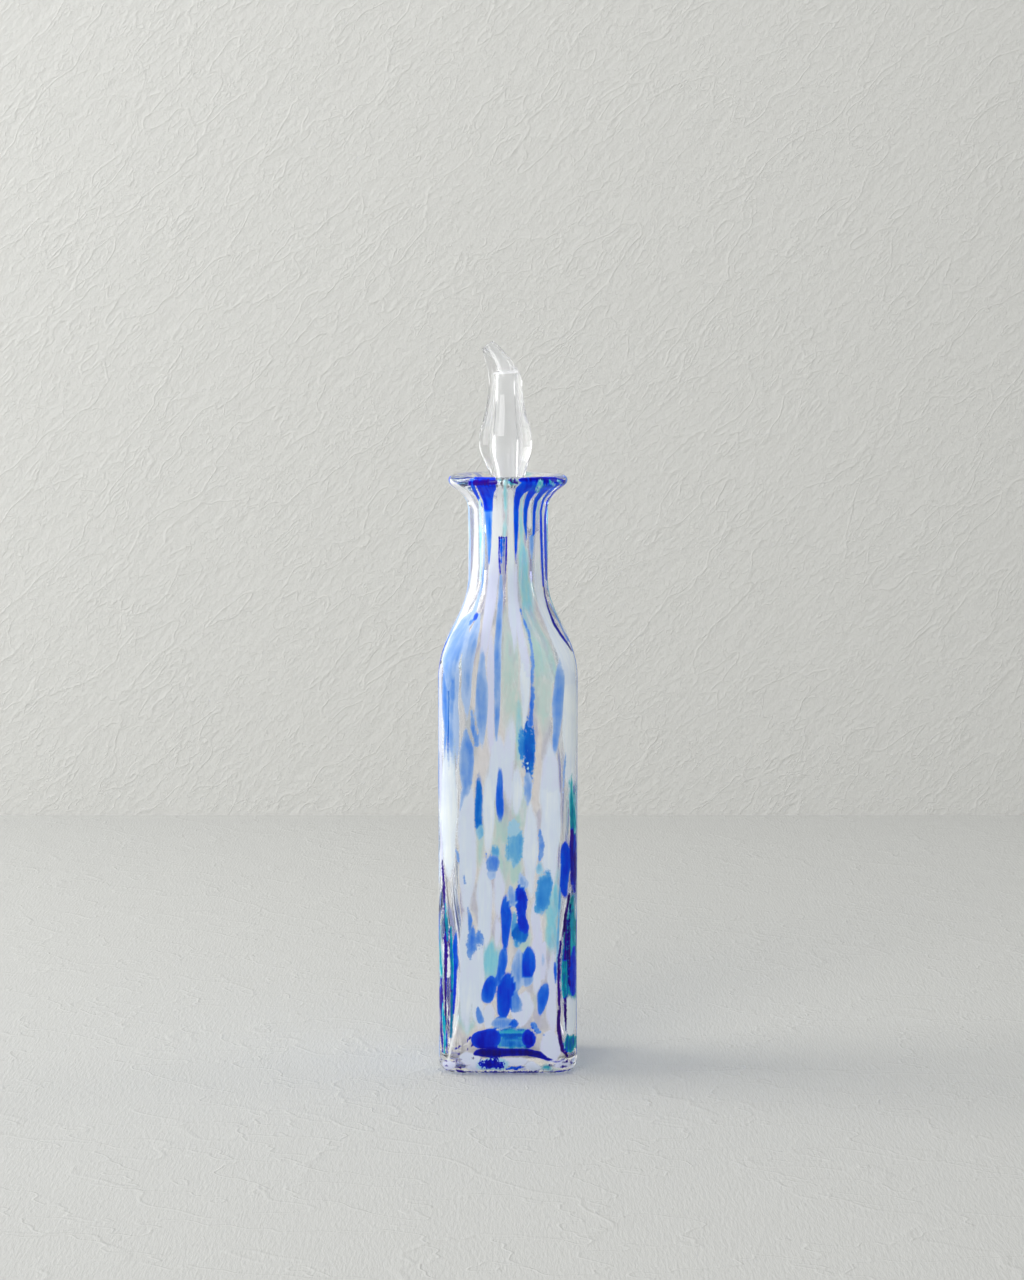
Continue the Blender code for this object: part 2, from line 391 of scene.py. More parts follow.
def hangLamps():
    for name, lamp in lamps.items():
        light = bpy.data.lights.new(name, "AREA")
        light.shape = "RECTANGLE"
        light.size, light.size_y = lamp["size"]
        light.energy = lamp["power"]
        holder = bpy.data.objects.new(name, light)
        holder.location = lamp["at"]
        towards = [b - a for a, b in zip(lamp["at"], lamp["to"])]
        flat = math.hypot(towards[0], towards[1])
        holder.rotation_euler = (math.atan2(flat, -towards[2]), 0, math.atan2(-towards[0], towards[1]))
        bpy.context.scene.collection.objects.link(holder)


placeCamera()
buildStudio()
hangLamps()

print("bottle")

bottleLow, bottleHigh = (np.array(corner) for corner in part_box("bottle"))

# The bottle's own sizes, in metres; its width and its height come from the frame
bottle = {
    "half": (bottleHigh[0] - bottleLow[0]) / 2,
    "top": bottleHigh[2],
    "corner": 0.0090,
    "foot": 0.0050,
    "footRing": 0.0040,
    "punt": 0.0009,
    "dish": 0.0080,
    "dishCorner": 0.0060,
    "eye": 0.0006,
    "bodyHeight": 0.166,
    "shoulderHeight": 0.042,
    "shoulderPulls": (0.45, 0.43),
    "neckHeight": 0.027,
    "neckRadius": 0.0168,
    "boreRadius": 0.0095,
    "lipRadius": 0.0251,
    "lipSlope": math.radians(38),
    "lipPull": 0.55,
    "lipBand": 0.0100,
    "rim": 0.0023,
    "wall": 0.0030,
    "cornerWall": 0.0045,
    "base": 0.0065,
    "floorWall": 0.0050,
    "floorCorner": 0.0060,
    "floorCrown": 0.0008,
    "columns": 320,
    "outerRows": 248,
    "innerRows": 60,
    "crowding": 0.15,
    "waviness": 0.00022,
    "wavesSeed": 3,
    "wavesInside": 2.2,
    "wavesFrom": 0.004,
    "wavesTo": 0.238,
    "wavesEase": 0.030,
    "throatFrom": 0.200,
    "flowRadius": 0.029,
    "leastRadius": 0.004,
}

# The thickness of the wall at some heights down the body, in metres
walls = {0.100: 0.0032, 0.085: 0.0038, 0.072: 0.0047, 0.060: 0.0060, 0.046: 0.0072, 0.035: 0.0074,
         0.024: 0.0070, 0.016: 0.0058}

# Where the glass is hazy or paler, in millimetres: each pair is where that starts and where it is full
bottleHaze = {
    "aside": (22.0, 14.0),
    "foot": (4.0, 9.0),
    "corner": 6.0,
    "spread": (44.0, 24.0),
    "top": (206.0, 176.0),
    "neck": (244.0, 236.0),
    "neckLift": (202.0, 228.0),
}


# The turn of each column, drawn together at the body's four upright corners
def columnTurns(count):
    even = np.linspace(0, 2 * math.pi, count, endpoint=False)
    return even + bottle["crowding"] * np.sin(4 * even)


# How far a rounded square of this half width and corner radius reaches at a turn: the flat side's
# half over the cosine, or the far crossing of the ray with the corner's circle
def squareReach(turn, half, corner):
    corner = np.minimum(corner, half)
    straight = half - corner
    across = np.maximum(abs(np.cos(turn)), abs(np.sin(turn)))
    along = np.minimum(abs(np.cos(turn)), abs(np.sin(turn)))
    root = np.sqrt(np.maximum(corner ** 2 - (straight * (across - along)) ** 2, 0))
    return np.where(half * along <= straight * across, half / across, straight * (across + along) + root)


# The shoulder's S curve as (half width, height, corner radius), square below and round above: the
# corner's radius turns into the half width by a smooth step
def shoulder(half, corner, low, endRadius, high, count):
    path = uprightCurve((half, low), (endRadius, high), bottle["shoulderPulls"], count)
    blend = fade(np.linspace(0, 1, count), 0, 1)
    return np.column_stack([path, corner + (path[:, 0] - corner) * blend])


# The outline from the middle of the underside, up the outside and over to the top of the rim
def outerPath():
    b = bottle
    neckLow = b["bodyHeight"] + b["shoulderHeight"]
    neckTop = neckLow + b["neckHeight"]
    foot = b["foot"]
    footArc = arc((b["half"] - foot, foot), foot, -math.pi / 2, 0, 12)
    footCorner = np.maximum(b["corner"] - (b["half"] - footArc[:, 0]), foot / 4)
    ringIn = b["half"] - foot - b["footRing"]
    under = np.array([
        (b["eye"], b["punt"], b["eye"]),
        (b["dish"], b["punt"], b["dishCorner"]),
        (ringIn - b["footRing"], b["punt"] * 0.7, b["dishCorner"]),
        (ringIn, 0.0, foot),
    ])
    slope = b["lipSlope"]
    rimCentre = (b["lipRadius"] - b["rim"], b["top"] - b["rim"])
    tuck = (rimCentre[0] + b["rim"] * math.sin(slope), rimCentre[1] - b["rim"] * math.cos(slope))
    lean = b["lipPull"] * (tuck[0] - b["neckRadius"])
    flare = bezier([
        (b["neckRadius"], neckTop),
        (b["neckRadius"], neckTop + b["lipPull"] * (tuck[1] - neckTop)),
        (tuck[0] - lean * math.cos(slope), tuck[1] - lean * math.sin(slope)),
        tuck,
    ], 24)
    rim = arc(rimCentre, b["rim"], slope - math.pi / 2, math.pi / 2, 14)
    upper = np.concatenate([flare, rim[1:]])
    return np.concatenate([
        under,
        np.column_stack([footArc, footCorner]),
        shoulder(b["half"], b["corner"], b["bodyHeight"], b["neckRadius"], neckLow, 40),
        np.column_stack([upper, upper[:, 0]]),
    ])


# The inside, from the top of the rim down the throat and the walls to the middle of the floor
def innerPath():
    b = bottle
    neckLow = b["bodyHeight"] + b["shoulderHeight"]
    neckTop = neckLow + b["neckHeight"]
    mouth = (b["lipRadius"] - b["rim"], b["top"])
    throat = bezier([
        mouth,
        (mouth[0] - b["lipPull"] * (mouth[0] - b["boreRadius"]), mouth[1]),
        (b["boreRadius"], neckTop + b["lipPull"] * (mouth[1] - neckTop)),
        (b["boreRadius"], neckTop),
    ], 20)
    half = b["half"] - b["wall"]
    corner = b["corner"] - b["wall"]
    sides = [(b["half"] - thick, height, b["corner"] - min(thick, b["cornerWall"]))
             for height, thick in walls.items()]
    down = shoulder(half, corner, b["bodyHeight"] - b["wall"] / 2, b["boreRadius"], neckLow, 30)[::-1]
    turnHeight = b["base"] + b["floorCorner"]
    floorHalf = b["half"] - b["floorWall"]
    bend = arc((floorHalf - b["floorCorner"], turnHeight), b["floorCorner"], 0, -math.pi / 2, 12)
    bendCorner = sides[-1][2] + (floorHalf - bend[:, 0]) / 3
    return np.concatenate([
        np.column_stack([throat, throat[:, 0]]),
        down,
        sides,
        np.column_stack([bend, bendCorner]),
        [(b["dish"], b["base"] + b["floorCrown"] / 2, b["dishCorner"]),
         (b["eye"], b["base"] + b["floorCrown"], b["eye"])],
    ])


# Rings of a path (half width, height, corner radius) at every column's turn
def ringPoints(path, turns):
    reach = squareReach(turns[None, :], path[:, 0:1], path[:, 2:3])
    height = np.broadcast_to(path[:, 1:2], reach.shape)
    return np.stack([reach * np.cos(turns), reach * np.sin(turns), height], -1)


# The turn that faces the front, -Y
frontTurn = 1.5 * math.pi


# Where each point lies round the body, in millimetres from the middle of the front, and how high,
# where the height goes on as path length under the foot and over the lip
def wrapPlaces(path, turns):
    bodyRing = squareReach(turns, bottle["half"], bottle["corner"])
    edge = np.stack([bodyRing * np.cos(turns), bodyRing * np.sin(turns)], -1)
    steps = np.linalg.norm(np.roll(edge, -1, axis=0) - edge, axis=1)
    around = np.concatenate([[0], np.cumsum(steps)[:-1]])
    girth = steps.sum()
    across = (around - np.interp(frontTurn, turns, around) + girth / 2) % girth - girth / 2
    rise = np.diff(path[:, 1])
    step = np.hypot(np.diff(path[:, 0]), rise)
    upright = (path[:-1, 1] > bottle["foot"]) & (path[:-1, 1] < bottle["top"] - bottle["lipBand"])
    height = np.concatenate([[0], np.cumsum(np.where(upright, rise, step))])
    first = np.argmax(path[:, 1] >= bottle["foot"])
    return across / mm, (height + path[first, 1] - height[first]) / mm, girth / mm


# How far inside a lens each point is, in millimetres: half its smaller size, times 1 less the root of
# the share aside to the 1.75 plus the share up squared. It leans to the right as it rises.
def ovalDepth(across, height, spot):
    middle, level, width, length = spot[:4]
    lean = spot[4] if len(spot) > 4 else 0.0
    up = (height - level) / (length / 2)
    aside = abs(across - middle - lean * (height - level)) / (width / 2)
    return (1 - np.sqrt(aside ** 1.75 + up ** 2)) * min(width, length) / 2


# Small shifts that keep the chips from being regular: a sum of sines across and up, each with its
# own direction and phase, in millimetres
def drift(across, height, seed, size):
    draw = np.random.default_rng(seed)
    total = np.zeros(np.broadcast(across, height).shape)
    for number in range(5):
        wide, tall = draw.uniform(0.35, 1.1), draw.uniform(-0.55, 0.55)
        total = total + np.sin(across * wide + height * tall + draw.uniform(0, 2 * math.pi))
    return total * size / 2


# The depth inside a chip, in millimetres, of a point that is far from all of them
farOut = -9.0


# How far inside a drawn stroke each point is: half its width there less the distance from its line
def strokeDepth(across, height, points):
    best = np.full(np.broadcast(across, height).shape, farOut)
    for (a, low, thin), (b, high, thick) in zip(points, points[1:]):
        share = ((across - a) * (b - a) + (height - low) * (high - low)) / ((b - a) ** 2 + (high - low) ** 2)
        share = np.clip(share, 0, 1)
        away = np.hypot(across - a - share * (b - a), height - low - share * (high - low))
        best = np.maximum(best, (thin + (thick - thin) * share) / 2 - away)
    return best


# The front's chips of each kind, placed in millimetres right of the middle and up from the
# table: a depth of colour, a raggedness, and either an oval (middle, height, width, length, lean) or
# the points of a stroke (across, height, width)
# Some of the white strokes below are painted highlights, not white glass; each is marked where it stands
frontChips = {
    "cobalt": [
        (0.98, 0, (-0.9, 33.6, 6.6, 19.8, 0.13)), (0.55, 0.3, (3.2, 31.6, 5.2, 11, -0.15)),
        (0.84, 0, (-7.7, 36.2, 6.2, 12.6, 0.12)), (0.7, 0, (-2.6, 45.8, 4.4, 18, 0.12)),
        (0.93, 0.2, (8.3, 47, 5.8, 16.6, 0.12)), (0.38, 0, (4.1, 45, 5.6, 17.4)),
        (0.36, 0, (8, 40.8, 5.4, 6.4)), (0.76, 0, (14.3, 32.6, 4.4, 13.6, 0.14)),
        (0.55, 0.2, [(-12.9, 29.8, 0.4), (-12.2, 26.6, 2.4), (-11.4, 23.6, 3.2)]),
        (0.45, 0.4, (-1.8, 22.4, 9, 5)), (0.78, 0.3, (1.6, 22, 4.4, 3.6)),
        (1.06, 0, [(-11.8, 15.2, 7.4), (-7.2, 15.8, 8.6)]), (1.1, 0.1, (8.8, 15.8, 5.2, 8.8)),
        (0.6, 0.5, [(10.4, 21.8, 2.4), (12.8, 18.8, 1.8), (15.2, 17, 0.5)]),
        (1.3, 0, [(-13.6, 9.4, 2), (-11, 9.8, 3.6), (-6, 9.7, 4.2), (0, 9.9, 3.4), (8, 9.9, 3.2),
            (13, 8.9, 3), (16.5, 7, 1.5), (20, 5.9, 0.9), (23.4, 6.6, 1)]),
        (0.52, 0.7, (-15.2, 55.8, 3.8, 12.6, 0.1)), (0.48, 0.7, (-12, 58, 2.8, 8)),
        (0.92, 0, (-21.8, 53, 2.6, 16.5)), (0.45, 0, (14.5, 49.8, 1.1, 6)),
        (1.2, 2.2, [(-10.8, 4.6, 3), (-6.6, 5, 4), (-2.6, 4.4, 3)]),
        (0.98, 0.4, [(-0.6, 2.5, 0.9), (1.5, 3.4, 1.4), (3.5, 2.8, 1.6), (5, 3.6, 1.4), (7, 2.8, 0.9)]),
        (0.88, 0, (-0.9, 65, 4.1, 24)), (1.02, 0.5, (5.4, 73.4, 5.2, 17.6, 0.02)),
        (1.04, 0.3, (6.4, 65, 4.8, 10, -0.2)), (0.38, 0.6, (2, 75.6, 4, 9.6, -0.2)),
        (0.3, 0.8, (6.4, 82, 4, 8, -0.3)),
        (0.55, 0.4, [(12.8, 105.8, 0.4), (13.6, 101, 1.8), (14.2, 97, 2.4), (13.6, 93, 2),
            (12.9, 90, 0.5)]), (0.58, 0.7, (-6, 89.6, 5.8, 8.2)),
        (0.55, 0.4, [(-9.8, 95.4, 0.4), (-8.2, 91.6, 1.1), (-7, 90, 1.8)]),
        (0.3, 0.5, (-6.6, 85.6, 4.4, 4.8)), (0.74, 0, (-3.2, 118.4, 3.1, 22)),
        (0.52, 0.5, [(-21.6, 96, 0.5), (-20.8, 92.4, 1.3), (-20.5, 89.8, 0.6)]),
        (0.52, 0.3, [(-18.5, 85.2, 0.6), (-17.9, 81.2, 1)]),
        (0.5, 0.4, [(-16.8, 71.6, 0.6), (-15.7, 67, 1.9), (-15.9, 62, 1.2)]),
        (0.54, 0, (-26.2, 155, 2, 42)), (0.44, 0, (-23.2, 158, 3, 50)), (0.3, 0, (-21.2, 157, 2.4, 52)),
        (0.42, 0.1, (-17.1, 132, 5.6, 29)),
        (0.42, 0.2, [(-16.6, 124, 4), (-18.6, 119, 1.8), (-19.8, 112, 0.5)]),
        (0.44, 0.3, [(-15.1, 154, 1.2), (-14.4, 147, 2), (-12.6, 139.6, 2)]),
        (0.25, 0, (-17.1, 170, 3.8, 40)), (0.38, 0, (-10.9, 158.6, 4.9, 42)),
        (0.44, 0, [(-2.9, 209, 1.2), (-3, 200, 2), (-3.6, 190, 2.6), (-4.2, 180, 3), (-4.3, 165, 2.8),
            (-4.5, 150, 2.2), (-4.9, 141, 0.8)]),
        (0.62, 0.5, [(5.2, 195, 0.4), (6.4, 191, 0.8), (8.6, 185.6, 1.2), (9.8, 180, 1), (10.3, 174, 1.6),
            (10.2, 166, 1.2), (10.2, 159, 1.9), (9.5, 152, 1.7), (9.4, 148, 2.6)]),
        (0.34, 0.4, (8.3, 121, 3.4, 15)), (0.45, 0, (20.7, 155, 4.6, 39, 0.06)),
        (0.5, 0.2, [(24, 136, 0.6), (23.3, 128, 0.9), (22.8, 119, 0.5)]),
        (0.42, 0, [(-22, 244, 0.7), (-18, 240.6, 0.7), (-16.4, 236, 0.8), (-15.9, 222, 0.8),
            (-16.1, 206, 0.8), (-18.6, 196, 0.7), (-21.6, 189, 0.8), (-25.4, 182, 1.2), (-27.6, 176, 0.8)]),
        (0.55, 0, [(-28.8, 176, 0.5), (-29, 150, 0.5), (-29, 110, 0.5), (-29, 80, 0.4)]),
        (0.6, 0, [(28.9, 172, 0.5), (29, 150, 0.5), (29, 110, 0.7), (29, 60, 0.7), (29, 10, 0.6)]),
        (0.36, 0, [(-9.9, 236, 0.6), (-9.9, 216, 0.7), (-10.6, 205, 1), (-12.6, 198, 1.2),
            (-14.6, 191.6, 1.8)]), (0.95, 0.1, (-13.6, 192, 2.2, 3.6, 0.3)),
        (0.66, 0.2, (-15.6, 189.6, 2, 3.6, 0.5)),
        (0.34, 0, [(-14.8, 193.2, 1.2), (-17.6, 189, 4.2), (-20.6, 183, 6), (-23.6, 174, 7),
            (-24.2, 168, 5), (-24.6, 163, 2)]),
        (0.27, 0, [(-11.8, 193, 0.8), (-12.9, 188.5, 2.8), (-14.7, 182.7, 4.4), (-16.6, 174, 5),
            (-17, 166, 4), (-17.2, 158, 1.5)]),
        (0.84, 0.3, [(-2.8, 224.2, 1.3), (-2.7, 220, 1.1), (-2.7, 213.6, 0.5)]),
        (1.06, 0, [(-9.4, 249, 9), (-8.8, 246, 8), (-8.7, 243, 6), (-8.3, 240, 4.4), (-8.1, 236, 3.6)]),
        (1, 0, [(-14.9, 248.4, 2.2), (-14.2, 245, 1.8), (-12.6, 241.6, 1.4), (-10.7, 237.4, 0.6)]),
        (0.64, 0, [(-8.1, 237, 3.4), (-7.9, 229, 2.6), (-7.8, 221, 1.7), (-7.9, 213, 0.4)]),
        (0.96, 0, [(8.6, 247.4, 5.4), (5.2, 244.6, 4.2), (3.8, 241, 2.7), (3.4, 236, 2.2), (3.4, 228, 1.9),
            (3.3, 220, 1.1), (3.2, 214.6, 0.3)]),
        (0.96, 0, [(13.6, 246.8, 4), (10.2, 244.2, 3.3), (8.2, 240.6, 2.3), (7.3, 236, 1.8),
            (7.2, 230, 1.5), (7.7, 223.6, 0.4)]),
        (0.92, 0, [(17.8, 246.8, 3.2), (14.2, 243.6, 2.5), (11.7, 240, 1.8), (10.9, 235, 1.4),
            (10.7, 225.6, 1.2)]), (0.5, 0.1, [(9.8, 224.6, 2), (9.8, 220, 1.8), (9.9, 215.4, 0.5)]),
        (1, 0, [(20.6, 246.6, 1.6), (17, 243.2, 1.4), (14.7, 240, 1.1), (13.7, 235, 1), (13.9, 226, 1.2),
            (14.3, 214, 1), (14.8, 204, 0.8)]),
        (1.12, 0, [(22.8, 245.8, 1.8), (19, 242.6, 1.2), (16.3, 239, 0.9), (15.5, 232, 1.1),
            (15.8, 218, 1.3), (16.2, 206, 1)]),
        (1.36, 0, [(14.9, 205, 0.4), (15.4, 200, 0.6), (16.8, 194.6, 0.7), (19.2, 188.6, 1.1),
            (22.2, 184, 1), (24.6, 180.8, 0.8), (26.6, 177.6, 0.4)]),
        (0.6, 0, [(17.2, 197, 0.4), (20.8, 190, 0.6), (25, 181.6, 0.5)]),
        (1.3, 0.2, [(5, 248.9, 1.8), (12, 249, 2.6), (19, 248.4, 2.8), (23.6, 247.2, 2)]),
        (1.42, 0.4, [(-26.8, 86, 0.4), (-26.3, 72, 1), (-25.9, 54, 1.4), (-25.9, 36, 1.1),
            (-26.4, 16, 0.7)]),
        (1.1, 0.2, [(-22.4, 58, 0.8), (-22, 48, 1.6), (-22.2, 36, 1.4), (-22.8, 26, 0.6)]),
        (1.3, 0.5, [(-27.9, 40, 0.6), (-27.7, 32, 1.3), (-27.8, 22, 0.6)]),
        (1.44, 0.6, [(26.2, 72, 0.6), (25.2, 60, 1.2), (25, 48, 1), (25.4, 38, 0.5)]),
        (1.2, 0.3, [(-25.6, 19, 0.4), (-25.9, 14, 1.2), (-25.4, 9, 0.5)]),
        (1, 0.1, (24, 87, 4.4, 24, 0.03)),
        (1.1, 0.2, [(27.6, 54, 1), (27, 47, 3.4), (27, 40, 3.6), (27.2, 34, 2)]),
        (0.8, 0, [(19.5, 48, 0.8), (19.8, 44, 1.5), (20, 39, 0.7)]),
    ],
    "azure": [
        (1, 0.3, [(-3, 17.2, 1.6), (1, 16.6, 2.8), (6.4, 17.2, 1.6)]),
        (0.86, 0.3, [(-3, 14.4, 1.6), (1, 14, 2.2), (6.4, 14.4, 1.4)]),
        (0.95, 0.2, [(-3.2, 19.4, 0.8), (1.6, 20.3, 1.2), (6.6, 19.4, 0.8)]),
        (0.9, 0.2, [(-2.6, 12.6, 0.8), (2, 12.2, 1.2), (6.2, 12.6, 0.8)]),
        (0.16, 0.4, (-6.6, 4.8, 14, 6.2)), (0.88, 0.5, (5, 60.6, 7, 8.4)), (0.55, 0.3, (2.4, 64, 2.8, 10)),
        (0.6, 0.5, (3.2, 56, 2.2, 4)), (0.66, 0.7, (14.9, 77.6, 7, 18.4, 0.12)),
        (0.6, 0.6, (13, 70.8, 3.6, 5)), (0.42, 0.5, (13.4, 87, 2.6, 6)),
        (0.48, 0.9, (3.2, 96.6, 7.6, 16, 0.05)), (0.24, 0.9, (2.4, 104, 4.6, 9)),
        (0.52, 0.6, (-5.4, 94, 3.2, 8)), (0.9, 0.2, (-12.2, 114.6, 3.5, 25)),
        (0.4, 0.2, (-12, 103.5, 2.6, 8)),
        (0.62, 0, [(20.6, 46, 1), (20.9, 60, 0.9), (21.6, 76, 1), (22.6, 98, 0.6)]),
        (0.9, 0, (-24.7, 152, 1.7, 36)), (0.52, 0, (-22.3, 150, 1, 34)), (0.9, 1.3, (8.9, 137, 5.2, 29)),
        (0.66, 1.2, (6.2, 139.6, 3.8, 13)),
        (1.2, 0.3, [(-1.6, 224.2, 1.1), (-1.7, 220.6, 0.9), (-1.9, 214.6, 0.3)]),
        (1.28, 0.3, [(-23.8, 62, 0.8), (-23.3, 50, 1.7), (-23.3, 36, 1.7), (-23.8, 16, 1.2)]),
        (1.3, 0.3, [(24.6, 64, 0.6), (24.2, 54, 2.6), (23.8, 44, 3.4), (24.4, 33, 1.4)]),
    ],
    "opal": [
        (0.3, 0, (6.2, 28.2, 9, 15, 0.12)), (0.2, 0, (17.8, 12.6, 9, 14)), (0.3, 0, (-16, 7.2, 8.4, 5)),
        (0.5, 0, (-17.4, 45, 5.8, 52)), (0.5, 0, (-12.6, 40, 5.6, 40)), (0.2, 0, (12.5, 49, 5.2, 28)),
        (0.2, 0, (18.2, 34, 4.4, 36)), (0.4, 0, (-8, 25, 6, 10)), (0.2, 0, (3, 6, 12, 4.2)),
        (0.2, 0, (-14.6, 3.4, 6.4, 3.6)), (0.3, 0, (10.5, 3.6, 6, 4)), (0.5, 0, (-17, 98, 7.2, 60)),
        (0.7, 0, (-8, 111, 5.4, 36)), (0.5, 0, (-9.6, 73, 6.8, 38)), (0.3, 0, (-3.6, 78, 4, 22)),
        (0.6, 0, (9.4, 96, 6, 40)), (0.6, 0, (17.6, 110, 8.6, 62)), (0.3, 0, (11.6, 66, 3.4, 20)),
        (0.3, 0, (-4.2, 61, 2.6, 14)), (0, 0, (-6.9, 161, 3.6, 56)), (0.6, 0, (1.5, 140, 2.6, 22)),
        (0.5, 0, (-4, 130, 7.6, 28)), (0.7, 0, (7.2, 165, 4, 40)), (0.7, 0, (3.6, 120, 5, 20)),
        (0.9, 0, (25.8, 152, 5.8, 70)), (0.2, 0, [(15, 56, 2), (14.8, 46, 2.6), (14.6, 41, 1.6)]),
        (0.4, 0, (17.6, 124, 8, 28)), (0.8, 0, (-24.6, 112, 7.6, 56)),
        # Partly white glass, partly a painted highlight of the left lamp down the left of the neck and
        # shoulder
        (1.1, 0, [(-17.6, 243, 2.6), (-13.4, 236, 1.4), (-13.2, 226, 1.8), (-13.4, 212, 2.6),
            (-14.8, 202, 2.8), (-18.6, 192, 2.4), (-23.6, 184, 2.4), (-26.8, 174, 1.6)]),
        # A painted highlight: a pale strip down the body's left corner
        (0, 0, [(-27.9, 172, 1), (-28, 150, 1.2), (-27.8, 120, 1.4), (-27.6, 84, 1.2)]),
        (0.1, 0, [(-5.8, 240, 2.4), (-5, 225, 3.4), (-6, 208, 4.4), (-7.6, 195, 4.4), (-9.6, 182, 3.4),
            (-11.4, 172, 1.4), (-12.2, 166, 0.4)]),
        (0, 0, [(-3.4, 246, 2), (-3.4, 230, 2.6), (-3.6, 226, 2.4)]),
        (0.5, 0, [(1.2, 244, 2.2), (1.2, 225, 2.4), (1.4, 205, 3.2), (2, 192, 3.6), (2.6, 184, 1.8),
            (2.8, 177, 0.4)]),
        (0.2, 0, [(3.4, 213, 0.8), (3.2, 200, 1.8), (4.6, 188, 2.6), (7, 176, 3.4), (7.6, 168, 3.6)]),
        (1.3, 0, [(18.4, 244.8, 1), (15.6, 241, 0.8), (14.8, 236, 0.8), (14.9, 228, 0.6)]),
        (1.3, 0, [(11.8, 245.4, 1), (9.7, 241.4, 0.9), (8.9, 236, 1.2), (9.1, 229, 1.8)]),
        (0.75, 0, [(12.3, 226, 1.8), (12.2, 214, 2.6), (12.6, 204, 3), (14.6, 195, 3.4), (18.8, 186, 4.2),
            (23.4, 177, 5.6), (25.6, 166, 5.6)]),
        # A painted highlight: the bright line along the inner wall's left edge, low on the body
        (1.4, 0, [(-20.8, 45, 0.5), (-21.2, 38, 1), (-22.1, 27.8, 1), (-23, 16.2, 1), (-24.9, 6.4, 0.8)]),
        # A painted highlight: the white strip beside the inner wall's right edge
        (1.3, 0, [(24.2, 75, 0.6), (23.1, 66, 1), (21.7, 58, 1), (20.3, 50, 0.8)]),
        (0.8, 0.2, (25.9, 24.5, 5.6, 18)), (0, 0.3, (-24.6, 4.2, 6.4, 4.4)),
        (0.1, 0.3, (22.4, 4.4, 8.6, 3.6)),
        (1.2, 0, [(-24.2, 247.6, 1.6), (-22, 245.6, 3), (-18.6, 243.6, 3)]), (0.4, 0, (0.2, 131, 3.4, 34)),
    ],
    "turquoise": [
        (1, 0, [(-2.6, 15.6, 8.6), (6, 15.6, 8.6)]), (0.66, 0, (-7, 49, 7.6, 19)),
        (0.45, 0, (-17, 25, 7, 16)), (0.4, 0, (6.5, 56, 7.5, 14)), (1.3, 0.2, (15.4, 3.1, 4.4, 2.6)),
        (0.36, 0, (-2.6, 99, 7.4, 38)), (0.4, 0, (2.6, 87, 7.4, 16)), (0.4, 0, (4.6, 113, 7, 20)),
        (0.45, 0, (-11.8, 97, 3.4, 22)), (0.62, 0, (17.6, 66, 6, 28)), (0.7, 0, (20, 74, 2.6, 62)),
        (0.3, 0, (1, 168, 7.6, 50)), (0.55, 0, (4.2, 146, 3.8, 36)), (0.3, 0, (14.5, 164, 8, 40)),
        (0.62, 0, [(-1.2, 248, 2.6), (-1.2, 238, 2.2), (-1.3, 225, 2)]),
        (0.56, 0, [(6.8, 244.4, 1.4), (5.8, 240, 1.8), (5.6, 234, 2.4), (5.8, 226, 3.4), (6.1, 216, 4.4)]),
        (0.57, 0, [(6.2, 220, 4), (6.8, 208, 5.2), (7.8, 198, 5.6), (8.8, 192, 4.4)]),
        (0.5, 0, [(8.2, 194, 4.8), (9.6, 187, 6.4)]),
        (0.4, 0, [(9.4, 190, 5.4), (12.6, 180, 10), (15.4, 170, 11)]),
        (0.6, 0, [(15.4, 244.6, 1.2), (13.4, 241, 1.2), (12.4, 236, 1.1), (12.2, 228, 0.8)]),
        (1.3, 0.6, [(-3.2, 248.6, 1.6), (-0.6, 248.4, 2.4), (3.6, 248.2, 2), (5.6, 247.4, 1)]),
        (1.3, 0.3, [(-28.6, 62, 0.6), (-28.4, 46, 1.2), (-28.4, 30, 0.9)]),
        (1.34, 1, [(27.2, 76, 1.6), (26.2, 64, 6), (25.9, 50, 6.6), (25.8, 36, 6.4), (26, 28, 4)]),
    ],
    "stain": [
        (1.06, 0.3, [(-27.4, 1.4, 0.7), (-10, 0.9, 0.9), (8, 0.9, 1.1), (27.4, 1.4, 0.7)]),
        (0.28, 0, [(-11.8, 240, 0.6), (-11.3, 228, 1.2), (-11.2, 216, 1.1), (-11.6, 206, 0.5)]),
        (1, 0.3, [(-3.6, 224.4, 0.5), (-3.7, 217, 0.5), (-3.2, 209.6, 0.3)]),
        (0.95, 0.3, [(-0.6, 224.4, 0.5), (-0.9, 217, 0.4), (-1.1, 209.6, 0.3)]),
        (1.1, 0.2, [(-3.6, 224.7, 0.6), (-0.6, 224.7, 0.6)]),
        (1.3, 0.6, [(-27.4, 90, 0.4), (-27, 80, 0.9), (-26.8, 66, 1)]),
        (0.62, 0.5, [(-26, 73, 0.7), (-25.6, 65, 1.6), (-25.2, 57, 1.2)]),
        (1.22, 0.9, [(-26.2, 60, 1.4), (-25.8, 52, 1.6), (-26, 44, 1.2)]),
        (0.56, 0.4, [(-23.6, 63, 0.8), (-23.5, 50, 1.8), (-23.2, 37, 1.2)]),
        (1.36, 0.3, [(-24.5, 61, 0.5), (-24.2, 48, 0.7), (-23.9, 35, 0.5)]),
        (0.44, 0.3, [(-28.4, 51, 0.5), (-28.3, 44, 1.3), (-28.3, 39, 0.6)]),
        (1.12, 0.4, [(-28.2, 40, 1), (-28.1, 34, 1.7), (-28.2, 27, 0.9)]),
        (0.5, 0.3, [(-27.4, 30, 0.5), (-27.2, 24, 1), (-27, 18, 0.5)]),
        (1.3, 0.3, [(-26.3, 44, 0.5), (-26.1, 32, 0.5), (-25.7, 20, 0.4)]),
        (1.1, 0.4, [(-28.1, 27, 0.4), (-27.7, 18, 0.9), (-27.4, 9, 0.6)]),
        (0.5, 0.4, [(-26.6, 24, 0.5), (-26.3, 15, 1), (-26.6, 9, 0.6)]),
